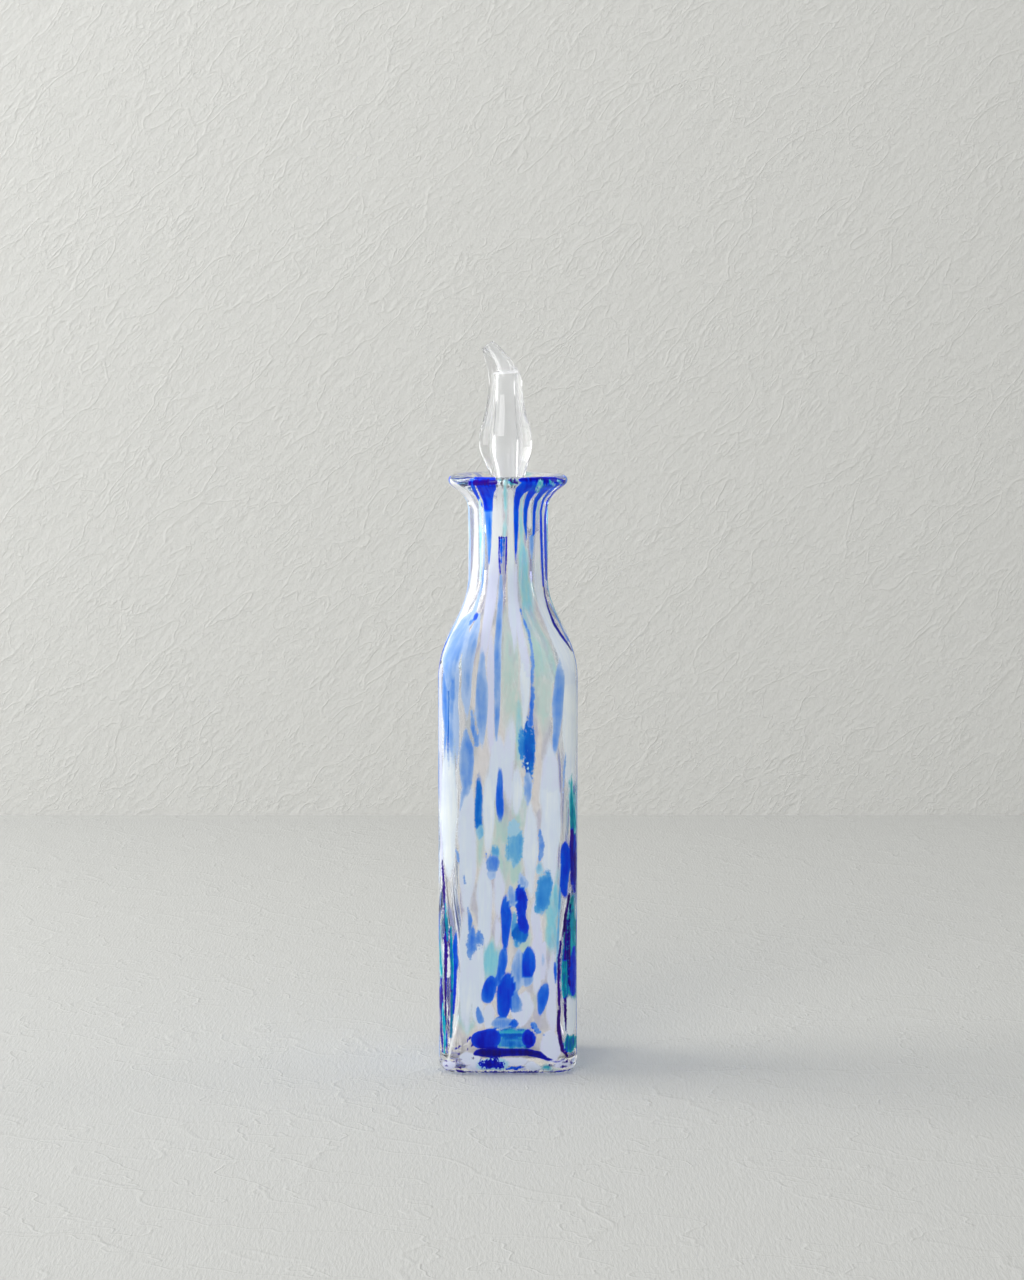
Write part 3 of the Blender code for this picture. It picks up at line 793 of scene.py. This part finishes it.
        (1, 0.3, [(-23.2, 10.6, 0.3), (-18.4, 13.2, 0.4), (-15.4, 16.6, 0.2)]),
        (1.05, 0.3, [(-22.6, 8.4, 0.3), (-17.4, 10.6, 0.4), (-14.6, 13.4, 0.2)]),
        (1.26, 0.3, [(-24.7, 40, 0.5), (-24.7, 30, 0.6), (-25, 18, 0.4)]),
        (1, 0.3, [(27.4, 107, 0.8), (27, 96, 3.4), (27.2, 84, 3), (27.7, 77, 0.9)]),
        (0.44, 0.3, [(26, 127, 0.8), (26.7, 116, 3), (27.2, 107, 3), (27.6, 99, 0.8)]),
        (0.88, 0.3, [(27.2, 122, 0.6), (27.3, 116, 1.2), (27.4, 109, 0.6)]),
        (1.1, 0.4, [(24.9, 66, 0.4), (24, 54, 0.9), (23.6, 46, 1.2), (23.8, 36, 0.7), (24.4, 30, 0.3)]),
        (1.26, 0.4, [(26.7, 70, 0.3), (26, 58, 0.7), (25.6, 46, 0.6), (26, 35, 0.4)]),
        (0.56, 0.4, [(23.5, 48, 2), (23.2, 40, 2.4), (23.6, 33, 1.4)]),
        (1.32, 0.3, [(25.7, 76.6, 0.7), (24.5, 70, 0.9), (22.9, 60.9, 1.2), (21.4, 51, 1.4),
            (21, 42.7, 1.5), (21.1, 36, 1.3), (21.7, 28.6, 0.9), (21.1, 21, 1.4), (21.8, 15.3, 1.6),
            (23.1, 10.4, 1.8), (25.4, 7.5, 1), (28.3, 7.9, 0.8)]),
        (1.3, 0.6, [(23.7, 33, 0.6), (24, 26, 0.9), (24.1, 18, 0.5)]), (0.54, 0.5, (25.8, 12.6, 5.4, 8.4)),
        (1.24, 0.4, [(-28.2, 5.8, 0.4), (-24.4, 5.3, 0.6), (-18.6, 7, 0.4), (-13, 7.4, 0.3)]),
        (1.2, 0.4, [(-26.8, 3.8, 0.4), (-22, 2.9, 0.6), (-17, 3.8, 0.3)]),
        (1.22, 0.4, [(14, 4.2, 0.3), (21, 4.9, 0.6), (28.2, 6.6, 0.4)]),
        (1.16, 0.4, [(13, 2.4, 0.3), (21, 3, 0.5), (28, 4.6, 0.4)]),
        (1.18, 0.3, [(-15.6, 247.4, 2), (-10, 247.8, 2.3), (-4.6, 248, 1.9)]),
        (0.46, 0.7, [(13.4, 249, 1), (13.6, 247.2, 2.2), (12.8, 245.4, 1.6), (11.8, 243.8, 0.6)]),
        (0.5, 0.7, [(17, 248.4, 0.5), (18.4, 247.2, 1.2), (19.4, 245.8, 0.5)]),
        (0.46, 0.7, [(20.6, 248.2, 0.4), (22, 247, 0.9), (22.8, 246, 0.4)]),
        (1.3, 0.7, [(0.4, 249, 0.8), (2.4, 248.4, 2), (4.4, 247.6, 0.8)]),
        (1.16, 0.7, [(15.4, 249.2, 0.4), (16, 247.6, 0.8), (15.6, 246.4, 0.3)]),
        (0.44, 0.2, [(-25, 247.6, 0.6), (-24, 244.6, 0.5), (-21.4, 242.4, 0.4)]),
        (0.22, 0, (8.6, 137, 1.1, 1.1)), (0.22, 0, (8.1, 132.5, 1, 1)), (0.22, 0, (8.8, 130, 1.2, 1.2)),
    ],
}

# Colour on the sides and behind the lip, as ovals in millimetres round the body from the middle of the
# front. The thick corners gather the wide ones into streaks.
sideChips = {
    "cobalt": [
        (1.34, 0.1, (-83, 256, 3.4, 16)), (1.34, 0.1, (-92.2, 256, 3, 16)), (1.3, 0, (-101.4, 256, 3, 16)),
        (1.4, 0.1, (-90, 254.8, 30, 2.4)), (1.4, 0.1, (91, 254.8, 22, 2.4)),
        (1.02, 0.5, (46, 87, 10, 26, 0.05)), (1.3, 0, (36, 88, 5, 24)), (1.15, 0, (38, 114, 3, 22)),
        (1.45, 0.4, (36, 60, 2.2, 36)), (1.4, 0.4, (42.5, 58, 1.8, 30)), (1.1, 0.4, (48, 45, 8, 19, 0.08)),
        (1.4, 0.3, (33.5, 34, 2, 40)), (1.5, 0.6, (-35, 70, 2.2, 34)), (1.45, 0.6, (-40, 58, 1.8, 40)),
        (1.42, 0.6, (-45, 44, 2.2, 44)), (1.5, 0.4, (-33, 34, 1.8, 30)),
    ],
    "azure": [
        (0.9, 0.5, (54, 80, 6, 18, -0.05)),
    ],
    "opal": [
        (0, 0, (90, 251, 16, 6)), (0.9, 0, (46, 156, 26, 66)), (0.8, 0, (70, 150, 16, 80)),
        (0.7, 0, (42, 24, 14, 22)), (0.5, 0, (-44, 126, 24, 80)),
    ],
    "turquoise": [
        (1.3, 0, (-87.6, 256, 4.6, 16)), (1.1, 0, (-96.6, 256, 4.6, 16)), (1.1, 0, (42, 113, 14, 30)),
        (1.3, 0, (44, 62, 20, 34)), (0.8, 0, (55, 40, 7, 16)), (1.5, 0.2, (40, 11, 20, 9)),
        (1.45, 0.2, (-37.5, 50, 2.2, 34)), (1.3, 0.2, (-50, 44, 4, 30)), (1.4, 0.2, (-33.5, 40, 1.6, 24)),
    ],
}

# The rest of the chips, on the sides and the back. In each band of height: how many there are, the
# heights, widths and lengths that they are drawn from in millimetres, and each kind's share of them.
scatter = {
    "seed": 7,
    "frontHalf": 27.0,
    "frontFacing": 0.10,
    "sideFacing": 0.25,
    "drift": 0.38,
    "driftSeeds": (11, 12, 13),
    "kinds": ("cobalt", "azure", "opal", "turquoise"),
    "tones": {"cobalt": (0.35, 1.12), "azure": (0.4, 0.95), "opal": (0.0, 0.6), "turquoise": (0.3, 1.0)},
    "opalRag": 0.1,
    "rags": (0.0, 0.15, 0.6),
    "jitter": (0.1, 0.9),
    "lean": 0.05,
    "bands": [
        (26, (24, 62), (5.5, 8.0), (34, 54), (0, 0, 0.8, 0.2)),
        (30, (62, 135), (5.5, 8.5), (40, 64), (0, 0, 0.8, 0.2)),
        (26, (135, 185), (5.0, 8.0), (50, 74), (0, 0, 0.5, 0.5)),
        (14, (1, 6), (5, 11), (3, 6), (0.5, 0.05, 0.3, 0.15)),
        (22, (9, 22), (5, 10), (7, 12), (0.5, 0.1, 0.25, 0.15)),
        (58, (22, 62), (3.4, 6.2), (9, 20), (0.6, 0.15, 0.1, 0.15)),
        (34, (58, 104), (3.6, 7.0), (12, 28), (0.5, 0.2, 0.1, 0.2)),
        (26, (100, 150), (3.6, 6.2), (20, 42), (0.6, 0.15, 0.1, 0.15)),
        (24, (146, 190), (3.6, 6.4), (34, 62), (0.6, 0.1, 0.1, 0.2)),
        (34, (200, 246), (4.0, 7.5), (40, 76), (0.42, 0.06, 0.34, 0.18)),
        (12, (249, 256), (8, 22), (6, 11), (0.6, 0, 0.2, 0.2)),
    ],
}


# The chips off the front, by kind: those listed, and then the scattered ones
def chipsAround(girth):
    draw = np.random.default_rng(scatter["seed"])
    chips = {kind: list(sideChips.get(kind, [])) for kind in frontChips}
    spacing = girth - 2 * scatter["frontHalf"]
    lean = scatter["lean"]
    for count, heights, widths, lengths, shares in scatter["bands"]:
        for number in range(count):
            kind = str(draw.choice(scatter["kinds"], p=shares))
            across = scatter["frontHalf"] + spacing * (number + draw.uniform(*scatter["jitter"])) / count
            width, length = draw.uniform(*widths), draw.uniform(*lengths)
            ragged = scatter["opalRag"] if kind == "opal" else draw.choice(scatter["rags"])
            oval = (across, draw.uniform(*heights), width, length, draw.uniform(-lean, lean))
            chips[kind].append((draw.uniform(*scatter["tones"][kind]), ragged, oval))
    return chips


# Each chip of a kind: its depth of colour, its raggedness, and how deep inside it each point is. The
# front's chips are measured straight across, where the glass faces forward, and the rest are measured
# round the body.
def chipDepths(kind, around, frontPlaces, wrapped, girth):
    x, z, facing = frontPlaces
    across, height = wrapped
    places = ((x, z), (x, z), wrapped)
    shifts = [drift(*place, seed, scatter["drift"]) for place, seed in zip(places, scatter["driftSeeds"])]
    xShift, zShift, aroundShift = shifts
    for depth, ragged, shape in frontChips[kind]:
        isStroke = isinstance(shape, list)
        inside = strokeDepth(x, z, shape) if isStroke else ovalDepth(x + xShift, z + zShift, shape)
        yield depth, ragged, np.where(facing > scatter["frontFacing"], inside, farOut)
    for depth, ragged, oval in around:
        aside = (across - oval[0] + girth / 2) % girth - girth / 2 + oval[0] + aroundShift
        yield depth, ragged, np.where(facing < scatter["sideFacing"], ovalDepth(aside, height, oval), farOut)


# Of all the chips of a kind, the one that each point is deepest in: that depth in millimetres, its
# depth of colour and its raggedness
def chipFields(kind, around, frontPlaces, wrapped, girth):
    best = np.full(frontPlaces[0].shape, farOut)
    tone = np.zeros_like(best)
    rag = np.zeros_like(best)
    for depth, ragged, inside in chipDepths(kind, around, frontPlaces, wrapped, girth):
        tone = np.where(inside > best, depth, tone)
        rag = np.where(inside > best, ragged, rag)
        best = np.maximum(best, inside)
    return best, tone, rag


# The rings of the glass, drawn in by slow waves: calm at the foot and at the lip, stronger inside, and
# absent from the throat, where the seal sits
def wavyPoints(path, turns, isInner):
    b = bottle
    height = path[:, 1:2]
    points = ringPoints(path, turns)
    calm = (np.clip((height - b["wavesFrom"]) / b["wavesEase"], 0, 1)
            * np.clip((b["wavesTo"] - height) / b["wavesEase"], 0, 1))
    swell = waves(turns[None, :], height, b["wavesSeed"], b["waviness"]) * calm
    swell = abs(swell * np.where(isInner, b["wavesInside"], 1.0))
    swell = np.where(isInner & (height > b["throatFrom"]), 0.0, swell)
    radial = np.maximum(np.hypot(points[..., 0], points[..., 1]), b["leastRadius"])
    points[..., :2] *= (1 - swell / radial)[..., None]
    return points


# A field of the outside, which the inside carries on as one plain value
def storeOutside(mesh, name, values, rows, plain=0.0):
    inside = np.full((rows - len(values), values.shape[1]), plain)
    storeField(mesh, name, np.concatenate([values, inside]))


def buildBottle():
    b = bottle
    turns = columnTurns(b["columns"])
    outer = evenly(outerPath(), b["outerRows"])
    inner = evenly(innerPath(), b["innerRows"])[1:]
    path = np.concatenate([outer, inner])
    rows = len(path)
    points = wavyPoints(path, turns, np.arange(rows)[:, None] >= len(outer))
    mesh = wrapGrid("bottleGlass", points)

    across, height, girth = wrapPlaces(outer, turns)
    skin = points[: len(outer)] / mm
    x, y, z = (skin[..., axis] for axis in range(3))
    along = np.roll(skin, -1, axis=1) - np.roll(skin, 1, axis=1)
    facing = along[..., 0] / np.maximum(np.hypot(along[..., 0], along[..., 1]), 1e-6)
    wrapped = (across[None, :], height[:, None])
    around = chipsAround(girth)
    for kind in frontChips:
        best, tone, rag = chipFields(kind, around[kind], (x, z, facing), wrapped, girth)
        storeOutside(mesh, kind + "Inside", best, rows, farOut)
        storeOutside(mesh, kind + "Tone", tone, rows)
        storeOutside(mesh, kind + "Rag", rag, rows)

    hazy = bottleHaze
    aside = np.minimum(abs(x), abs(y)) - hazy["corner"] * fade(z, *hazy["spread"])
    haze = fade(aside, *hazy["aside"]) * fade(z, *hazy["foot"])
    haze = haze * (fade(z, *hazy["top"]) + fade(z, *hazy["neck"])) / 2
    storeOutside(mesh, "haze", haze, rows)
    storeOutside(mesh, "lift", fade(z, *hazy["neckLift"]), rows)
    heights = np.concatenate([height * mm, path[len(outer):, 1]])[:, None]
    ring = (b["flowRadius"] * np.cos(turns), b["flowRadius"] * np.sin(turns))
    flow = np.stack(np.broadcast_arrays(*ring, heights), -1)
    storeField(mesh, "flow", flow, "FLOAT_VECTOR", "vector")

    faces = (rows - 1) * len(turns)
    slots = np.zeros(len(mesh.polygons), np.int32)
    slots[(len(outer) - 1) * len(turns):faces] = 1
    slots[faces + len(turns):] = 1
    mesh.polygons.foreach_set("material_index", slots)
    piece = addObject("bottle_glass", mesh, chippedGlass(), clearGlass("innerGlass", glassLooks["clear"]))
    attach(piece, "bottle_body")
    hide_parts("bottle")


# The colours of the glass: for each kind of chip, its depth of colour against the colour as screens
# show it, and how milky its palest and its deepest parts are
glassLooks = {
    "clear": (0.992, 0.974, 0.956),
    "pourer": (1.0, 1.0, 1.0),
    "shadow": (0.97, 0.975, 0.985),
    "chipShadow": (0.38, 0.43, 0.53),
    "haze": (0.90, 0.855, 0.83),
    "hazeMilk": 0.45,
    "hazePatches": 1.6,
    "glow": (0.82, 0.86, 0.92),
    "cloud": (0.95, 0.96, 0.98),
    "brighter": 1.18,
    "brightest": 0.96,
    "neckLift": 0.32,
    "palest": (0.97, 0.97, 0.98),
    "deepest": 1.6,
    "cobalt": {0.2: (162, 186, 222), 0.35: (126, 161, 213), 0.5: (88, 138, 214), 0.7: (30, 102, 216),
               0.85: (0, 76, 212), 1.0: (0, 50, 205), 1.15: (0, 16, 180), 1.35: (12, 0, 116),
               1.5: (40, 8, 92)},
    "azure": {0.2: (152, 192, 214), 0.4: (102, 166, 206), 0.6: (58, 138, 208), 0.85: (4, 104, 202),
              1.0: (0, 80, 190), 1.3: (0, 118, 142)},
    "turquoise": {0.2: (190, 203, 198), 0.4: (168, 199, 194), 0.6: (132, 198, 214), 0.85: (96, 190, 216),
                  1.0: (50, 170, 210), 1.3: (0, 158, 178), 1.5: (0, 92, 98)},
    # The white glass's colours, which also colour the painted highlights among the chips
    "opal": {0.0: (204, 208, 231), 0.5: (205, 216, 230), 1.0: (226, 235, 246), 1.4: (242, 247, 251)},
    "stain": {0.2: (190, 225, 230), 0.42: (0, 172, 186), 0.58: (0, 112, 150), 0.72: (0, 84, 200),
              0.86: (6, 40, 200), 1.0: (16, 0, 150), 1.2: (52, 4, 128), 1.4: (16, 0, 62)},
    "milk": {"cobalt": (0.95, 0.74), "azure": (0.95, 0.70), "turquoise": (0.85, 0.60), "opal": (0.96, 0.96),
             "stain": (0.72, 0.72)},
    "milkDepths": (0.3, 1.1),
    "milkInside": 0.8,
    "whiteGlow": 0.10,
    "whiteGlowInside": 0.75,
    "inwardFade": 0.5,
    "chipGloss": 0.05,
    "chipRoughness": 0.05,
    "ior": 1.5,
}

# The noises in the glass: the share that each keeps of its fineness upwards, its scale, its detail and
# its roughness
glassNoises = {
    "coarse": (0.6, 520.0, 3.0, 0.6),
    "fine": (0.8, 1700.0, 2.0, 0.6),
    "streak": (0.06, 800.0, 3.0, 0.6),
    "slow": (0.4, 210.0, 2.0, 0.5),
}

# How the noises break up the chips: their edges, in millimetres, and their depth of colour. The kinds
# under "soft" are laid over one another in its order, each with the softness of its edge.
chipBreaks = {
    "soft": {"turquoise": 1.1, "opal": 0.45, "azure": 0.35, "cobalt": 0.22, "stain": 0.2},
    "ragCoarse": 2.2,
    "ragFine": 1.32,
    "edgeCoarse": 0.3,
    "edgeFine": 0.35,
    "edgeStreak": {"stain": 2.6, "opal": 0.5, "turquoise": 1.0},
    "edgeSlow": {"turquoise": 4.0},
    "thin": 0.7,
    "thinDepths": (0.5, 0.8),
    "thinPatches": (-0.06, 0.22),
    "toneStreak": {"stain": 0.7, "opal": 0.8, "turquoise": 0.25, "azure": 0.25, "cobalt": 0.25},
    "toneCoarse": 0.16,
    "toneSlow": 0.55,
    "rimWidth": 1.4,
    "rimPaler": 0.14,
}


def clearGlass(name, colour, cloud=0.0):
    paint = Paint(name)
    shader = paint.principled(Base_Color=opaque(colour), Roughness=0.0, Transmission_Weight=1.0,
                              IOR=glassLooks["ior"])
    if cloud:
        shader = paint.milky(cloud, shader, glassLooks["cloud"])
    return paint.finish(paint.seeThroughForShadows(shader, glassLooks["shadow"]))


# A kind of chip's colour, read from its depth of colour
def chipColour(paint, kind, tone):
    looks = glassLooks
    stops = []
    for depth, shown in looks[kind].items():
        colour = [min(value * looks["brighter"], looks["brightest"]) for value in screen(*shown)]
        stops.append((depth / looks["deepest"], colour))
    ramp = paint.add("ShaderNodeValToRGB", {"stops": stops}, {"Fac": tone / looks["deepest"]})
    return ramp.outputs["Color"]


# A kind of chip's cover, 0 to 1, and its depth of colour: ragged where the chip is, paler at its rim
def chipCover(paint, kind, noises):
    breaks = chipBreaks
    coarse, fine, streak, slow = (noises[name] for name in ("coarse", "fine", "streak", "slow"))
    soft = breaks["soft"][kind]
    depth = paint.field(kind + "Tone")
    rag = paint.field(kind + "Rag")
    edge = paint.field(kind + "Inside") + (coarse * breaks["ragCoarse"] + fine * breaks["ragFine"]) * rag
    edge = edge + coarse * breaks["edgeCoarse"] + fine * breaks["edgeFine"]
    edge = edge + streak * breaks["edgeStreak"].get(kind, 0.0) + slow * breaks["edgeSlow"].get(kind, 0.0)
    cover = edge.step(-soft, soft)
    if kind == "turquoise":
        pale = 1 - depth.step(*breaks["thinDepths"])
        cover = cover * (1 - slow.step(*breaks["thinPatches"]) * pale * breaks["thin"])
    tone = depth + streak * breaks["toneStreak"][kind]
    tone = tone + coarse * breaks["toneCoarse"] + slow * breaks["toneSlow"]
    return cover, tone - (1 - edge.step(0.0, breaks["rimWidth"])) * breaks["rimPaler"]


# The bottle's outside: clear glass, hazed in places, with the chips, and some painted highlights among
# them, laid over it kind by kind. Where it is milky, a matt body with a glow takes over from the clear glass.
def chippedGlass():
    looks = glassLooks
    paint = Paint("chippedGlass")
    noises = {}
    for name, (upwards, scale, detail, roughness) in glassNoises.items():
        flow = paint.vector("MULTIPLY", paint.stored("flow")["Vector"], (1.0, 1.0, upwards))
        noises[name] = paint.noise(flow, scale, detail, roughness) - 0.5
    haze = paint.field("haze") * (1 - abs(noises["slow"]) * looks["hazePatches"])
    colour = paint.mixColour(haze, opaque(looks["clear"]), opaque(looks["haze"]))
    milk = haze * looks["hazeMilk"]
    white = haze
    for kind in chipBreaks["soft"]:
        cover, tone = chipCover(paint, kind, noises)
        colour = paint.mixColour(cover, colour, chipColour(paint, kind, tone))
        pale, deep = looks["milk"][kind]
        own = pale + (deep - pale) * tone.step(*looks["milkDepths"])
        milk = milk * (1 - cover) + own * cover
        white = white * (1 - cover)
        if kind == "opal":
            white = white + cover

    lift = 1 + paint.field("lift") * looks["neckLift"]
    lifted = paint.add("ShaderNodeVectorMath", {"operation": "SCALE"}, {0: colour, 3: lift}).outputs[0]
    colour = paint.vector("MINIMUM", lifted, looks["palest"])
    inward = paint.inward()
    through = paint.mixColour(inward * looks["inwardFade"], colour, opaque(looks["clear"]))
    glass = paint.principled(Base_Color=paint.vector("MULTIPLY", through, through), Roughness=0.0,
                             Transmission_Weight=1.0, IOR=looks["ior"])
    mirror = paint.principled(Base_Color=colour, Roughness=0.0, Metallic=1.0)
    bounce = paint.number("ShaderNodeFresnel", {}, {"IOR": looks["ior"]})
    glass = paint.mixShader(inward * bounce * milk, glass, mirror)
    body = paint.principled(Base_Color=colour, Roughness=looks["chipRoughness"], IOR=looks["ior"],
                            Specular_IOR_Level=looks["chipGloss"])
    body = paint.milky(white * (looks["whiteGlow"] + inward * looks["whiteGlowInside"]), body, looks["glow"])
    milk = milk * (1 - inward * (1 - white) * looks["milkInside"])
    shader = paint.mixShader(milk, glass, body)
    return paint.finish(paint.seeThroughForShadows(shader, looks["chipShadow"]))


buildBottle()

print("pourer and seal")

pourerLow, pourerHigh = (np.array(corner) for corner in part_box("pourer_spout"))
sealLow, sealHigh = (np.array(corner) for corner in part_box("seal_sleeve"))

# The pourer's sizes, in metres; heights count up from the seal's top
pourer = {
    "seat": sealHigh[2] + 0.0003,
    "foot": pourerLow[2],
    "stemRadius": 0.0057,
    "boreRadius": 0.0036,
    "seatWidth": 0.0009,
    "bulbRadius": 0.0111,
    "bulbBore": 0.0048,
    "bulbRise": 0.0159,
    "bulbToTube": 0.0262,
    "bulbPull": 0.35,
    "tubeRadius": 0.0070,
    "ceilingRise": 0.0036,
    "ceilingLedge": 0.0010,
    "beakRise": 0.0148,
    "beakReach": 0.0075,
    "mouthRadius": 0.00285,
    "mouthWall": 0.0009,
    "mouthTilt": math.radians(36),
    "bendPower": 1.6,
    "tiltPower": 4,
    "footRounding": 0.0006,
    "boreRounding": 0.0004,
    "seatRounding": 0.0002,
    "ceilingRounding": 0.0003,
    "lean": 0.0010,
    "cloud": 0.16,
    # A white milky ring where the channel meets the bore's ceiling, a painted highlight: its height, colour,
    # roughness and milkiness
    "highlightRing": 0.0006,
    "highlightColour": (0.97, 0.97, 0.98),
    "highlightRoughness": 0.3,
    "highlightMilk": 0.5,
    "columns": 96,
}


# An outline (radius, height) as level rings on the axis
def levelRings(outline):
    return np.column_stack([outline, np.zeros((len(outline), 2))])


# The pourer as rings (radius, height, sideways shift, tilt), up the outside, through the slanted mouth
# and down the channel and the bore. The beak bends over as a power of the share of its rise.
def pourerPath():
    p = pourer
    seat, foot, stem, bore = p["seat"], p["foot"], p["stemRadius"], p["boreRadius"]
    bulbAt = seat + p["bulbRise"]
    tubeAt = bulbAt + p["bulbToTube"]
    mouthAt = tubeAt + p["beakRise"]
    ceiling = tubeAt + p["ceilingRise"]
    pull = p["bulbPull"]

    seatRadius = stem + p["seatWidth"]
    bulbFoot = (seatRadius, seat + p["seatRounding"])
    bulbSide = (p["bulbRadius"], bulbAt)
    outside = levelRings(np.concatenate([
        [(bore + p["boreRounding"], foot), (stem - p["footRounding"], foot), (stem, foot + p["footRounding"]),
         (stem, seat - p["seatRounding"] / 2), (seatRadius - p["seatRounding"], seat), bulbFoot],
        bezier([bulbFoot, (seatRadius + p["seatWidth"], seat + p["bulbRise"] / 4),
                (p["bulbRadius"], bulbAt - pull * p["bulbRise"]), bulbSide], 30)[1:],
        uprightCurve(bulbSide, (p["tubeRadius"], tubeAt), (pull, 0.5), 40)[1:],
    ]))

    share = np.linspace(0, 1, 40)[1:]
    bend = share ** p["bendPower"]
    beak = np.column_stack([p["tubeRadius"] + (p["mouthRadius"] - p["tubeRadius"]) * bend,
                            tubeAt + p["beakRise"] * share,
                            -p["beakReach"] * bend,
                            p["mouthTilt"] * share ** p["tiltPower"]])
    inward = np.linspace(0, math.pi, 9)[1:-1]
    lip = np.column_stack([p["mouthRadius"] - p["mouthWall"] / 2 * (1 - np.cos(inward)),
                           mouthAt + p["mouthWall"] / 3 * np.sin(inward),
                           np.full(len(inward), -p["beakReach"]),
                           np.full(len(inward), p["mouthTilt"])])
    share = np.linspace(0, 1, 26)
    innerMouth = p["mouthRadius"] - p["mouthWall"]
    channelFoot = -p["ceilingLedge"] / 2
    channel = np.column_stack([innerMouth + (bore - p["ceilingLedge"] - innerMouth) * share,
                               mouthAt + (ceiling - mouthAt) * share,
                               channelFoot + (-p["beakReach"] - channelFoot) * (1 - share) ** p["bendPower"],
                               p["mouthTilt"] * (1 - share) ** p["tiltPower"]])

    boreTop = ceiling - p["ceilingRounding"]
    bulbInside = (p["bulbBore"], bulbAt)
    inside = levelRings(np.concatenate([
        [(bore - p["ceilingRounding"], ceiling), (bore, boreTop), (bore, boreTop - p["highlightRing"])],
        [(bore, tubeAt)],
        uprightCurve((bore, tubeAt), bulbInside, (0.5, pull), 24)[1:],
        uprightCurve(bulbInside, (bore, seat), (pull, 0.5), 16)[1:],
        [(bore, foot + p["boreRounding"])],
    ]))
    path = np.concatenate([outside, beak, lip, channel, inside])
    path[:, 2] -= p["lean"] * fade(path[:, 1], seat, bulbAt)
    return path, len(path) - len(inside)


# A circle of each ring's radius, tipped to -X by its tilt about its own middle
def tiltedRings(path, columns):
    turn = np.linspace(0, 2 * math.pi, columns, endpoint=False)[None, :]
    radius, height, shift, tilt = (path[:, axis:axis + 1] for axis in range(4))
    out = radius * np.cos(turn)
    return np.stack([shift + out * np.cos(tilt), radius * np.sin(turn), height + out * np.sin(tilt)], -1)


def buildPourer():
    path, highlightRow = pourerPath()
    mesh = wrapGrid("pourerGlass", tiltedRings(path, pourer["columns"]), ring=True)
    # A painted highlight: a white milky ring on the step where the channel meets the bore
    slots = np.zeros(len(mesh.polygons), np.int32)
    slots[(highlightRow - 1) * pourer["columns"]:(highlightRow + 2) * pourer["columns"]] = 1
    mesh.polygons.foreach_set("material_index", slots)
    paint = Paint("pourerPaintedHighlight")
    body = paint.principled(Base_Color=opaque(pourer["highlightColour"]), Roughness=pourer["highlightRoughness"])
    body = paint.milky(pourer["highlightMilk"], body, pourer["highlightColour"])
    highlightRing = paint.finish(paint.seeThroughForShadows(body, glassLooks["shadow"]))
    clear = clearGlass("pourerClear", glassLooks["pourer"], pourer["cloud"])
    piece = addObject("pourer_glass", mesh, clear, highlightRing)
    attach(piece, "pourer_body")
    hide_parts("pourer_spout")


# The seal's sizes, in metres
seal = {
    "bore": 0.0060,
    "core": 0.0079,
    "rib": (sealHigh[0] - sealLow[0]) / 2,
    "ribs": 9,
    "pitch": 0.0023,
    "collar": 0.00105,
    "rounding": 0.0003,
    "columns": 96,
    "colour": (0.82, 0.82, 0.84),
    "shade": 0.94,
    "shadeScale": 300.0,
    "glow": (0.80, 0.80, 0.84),
    "milk": 0.5,
    "roughness": 0.35,
    "ior": 1.41,
}


# The seal's outline: soft ribs, each the cube of a half sine, on a plain sleeve
def sealPath():
    s = seal
    bore, core, ends = s["bore"], s["core"], s["rounding"]
    low, high = sealLow[2], sealHigh[2]
    up = np.linspace(low + s["collar"], high - s["collar"], s["ribs"] * 12 + 1)
    wave = abs(np.sin((up - low - s["collar"]) / s["pitch"] * math.pi)) ** 3
    ribs = np.column_stack([core + (s["rib"] - core) * wave, up])
    foot = [(bore, low + ends), (bore + ends, low), (core - ends, low), (core, low + ends)]
    head = [(core, high - ends), (core - ends, high), (bore + ends, high), (bore, high - ends)]
    return np.concatenate([foot, ribs, head])


def buildSeal():
    mesh = wrapGrid("sealRubber", tiltedRings(levelRings(sealPath()), seal["columns"]), ring=True)
    paint = Paint("clearSilicone")
    shade = paint.noise(paint.place(), seal["shadeScale"])
    darker = tuple(value * seal["shade"] for value in seal["colour"])
    colour = paint.mixColour(shade, opaque(seal["colour"]), opaque(darker))
    body = paint.principled(Base_Color=colour, Roughness=seal["roughness"], IOR=seal["ior"])
    piece = addObject("seal_ribbed", mesh, paint.finish(paint.milky(seal["milk"], body, seal["glow"])))
    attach(piece, "seal_body")
    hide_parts("seal_sleeve")


buildPourer()
buildSeal()

scene = bpy.context.scene
scene.view_settings.view_transform = "Standard"
scene.cycles.max_bounces = 24
scene.cycles.transmission_bounces = 24
scene.cycles.transparent_max_bounces = 24
scene.cycles.caustics_reflective = False
scene.cycles.caustics_refractive = True
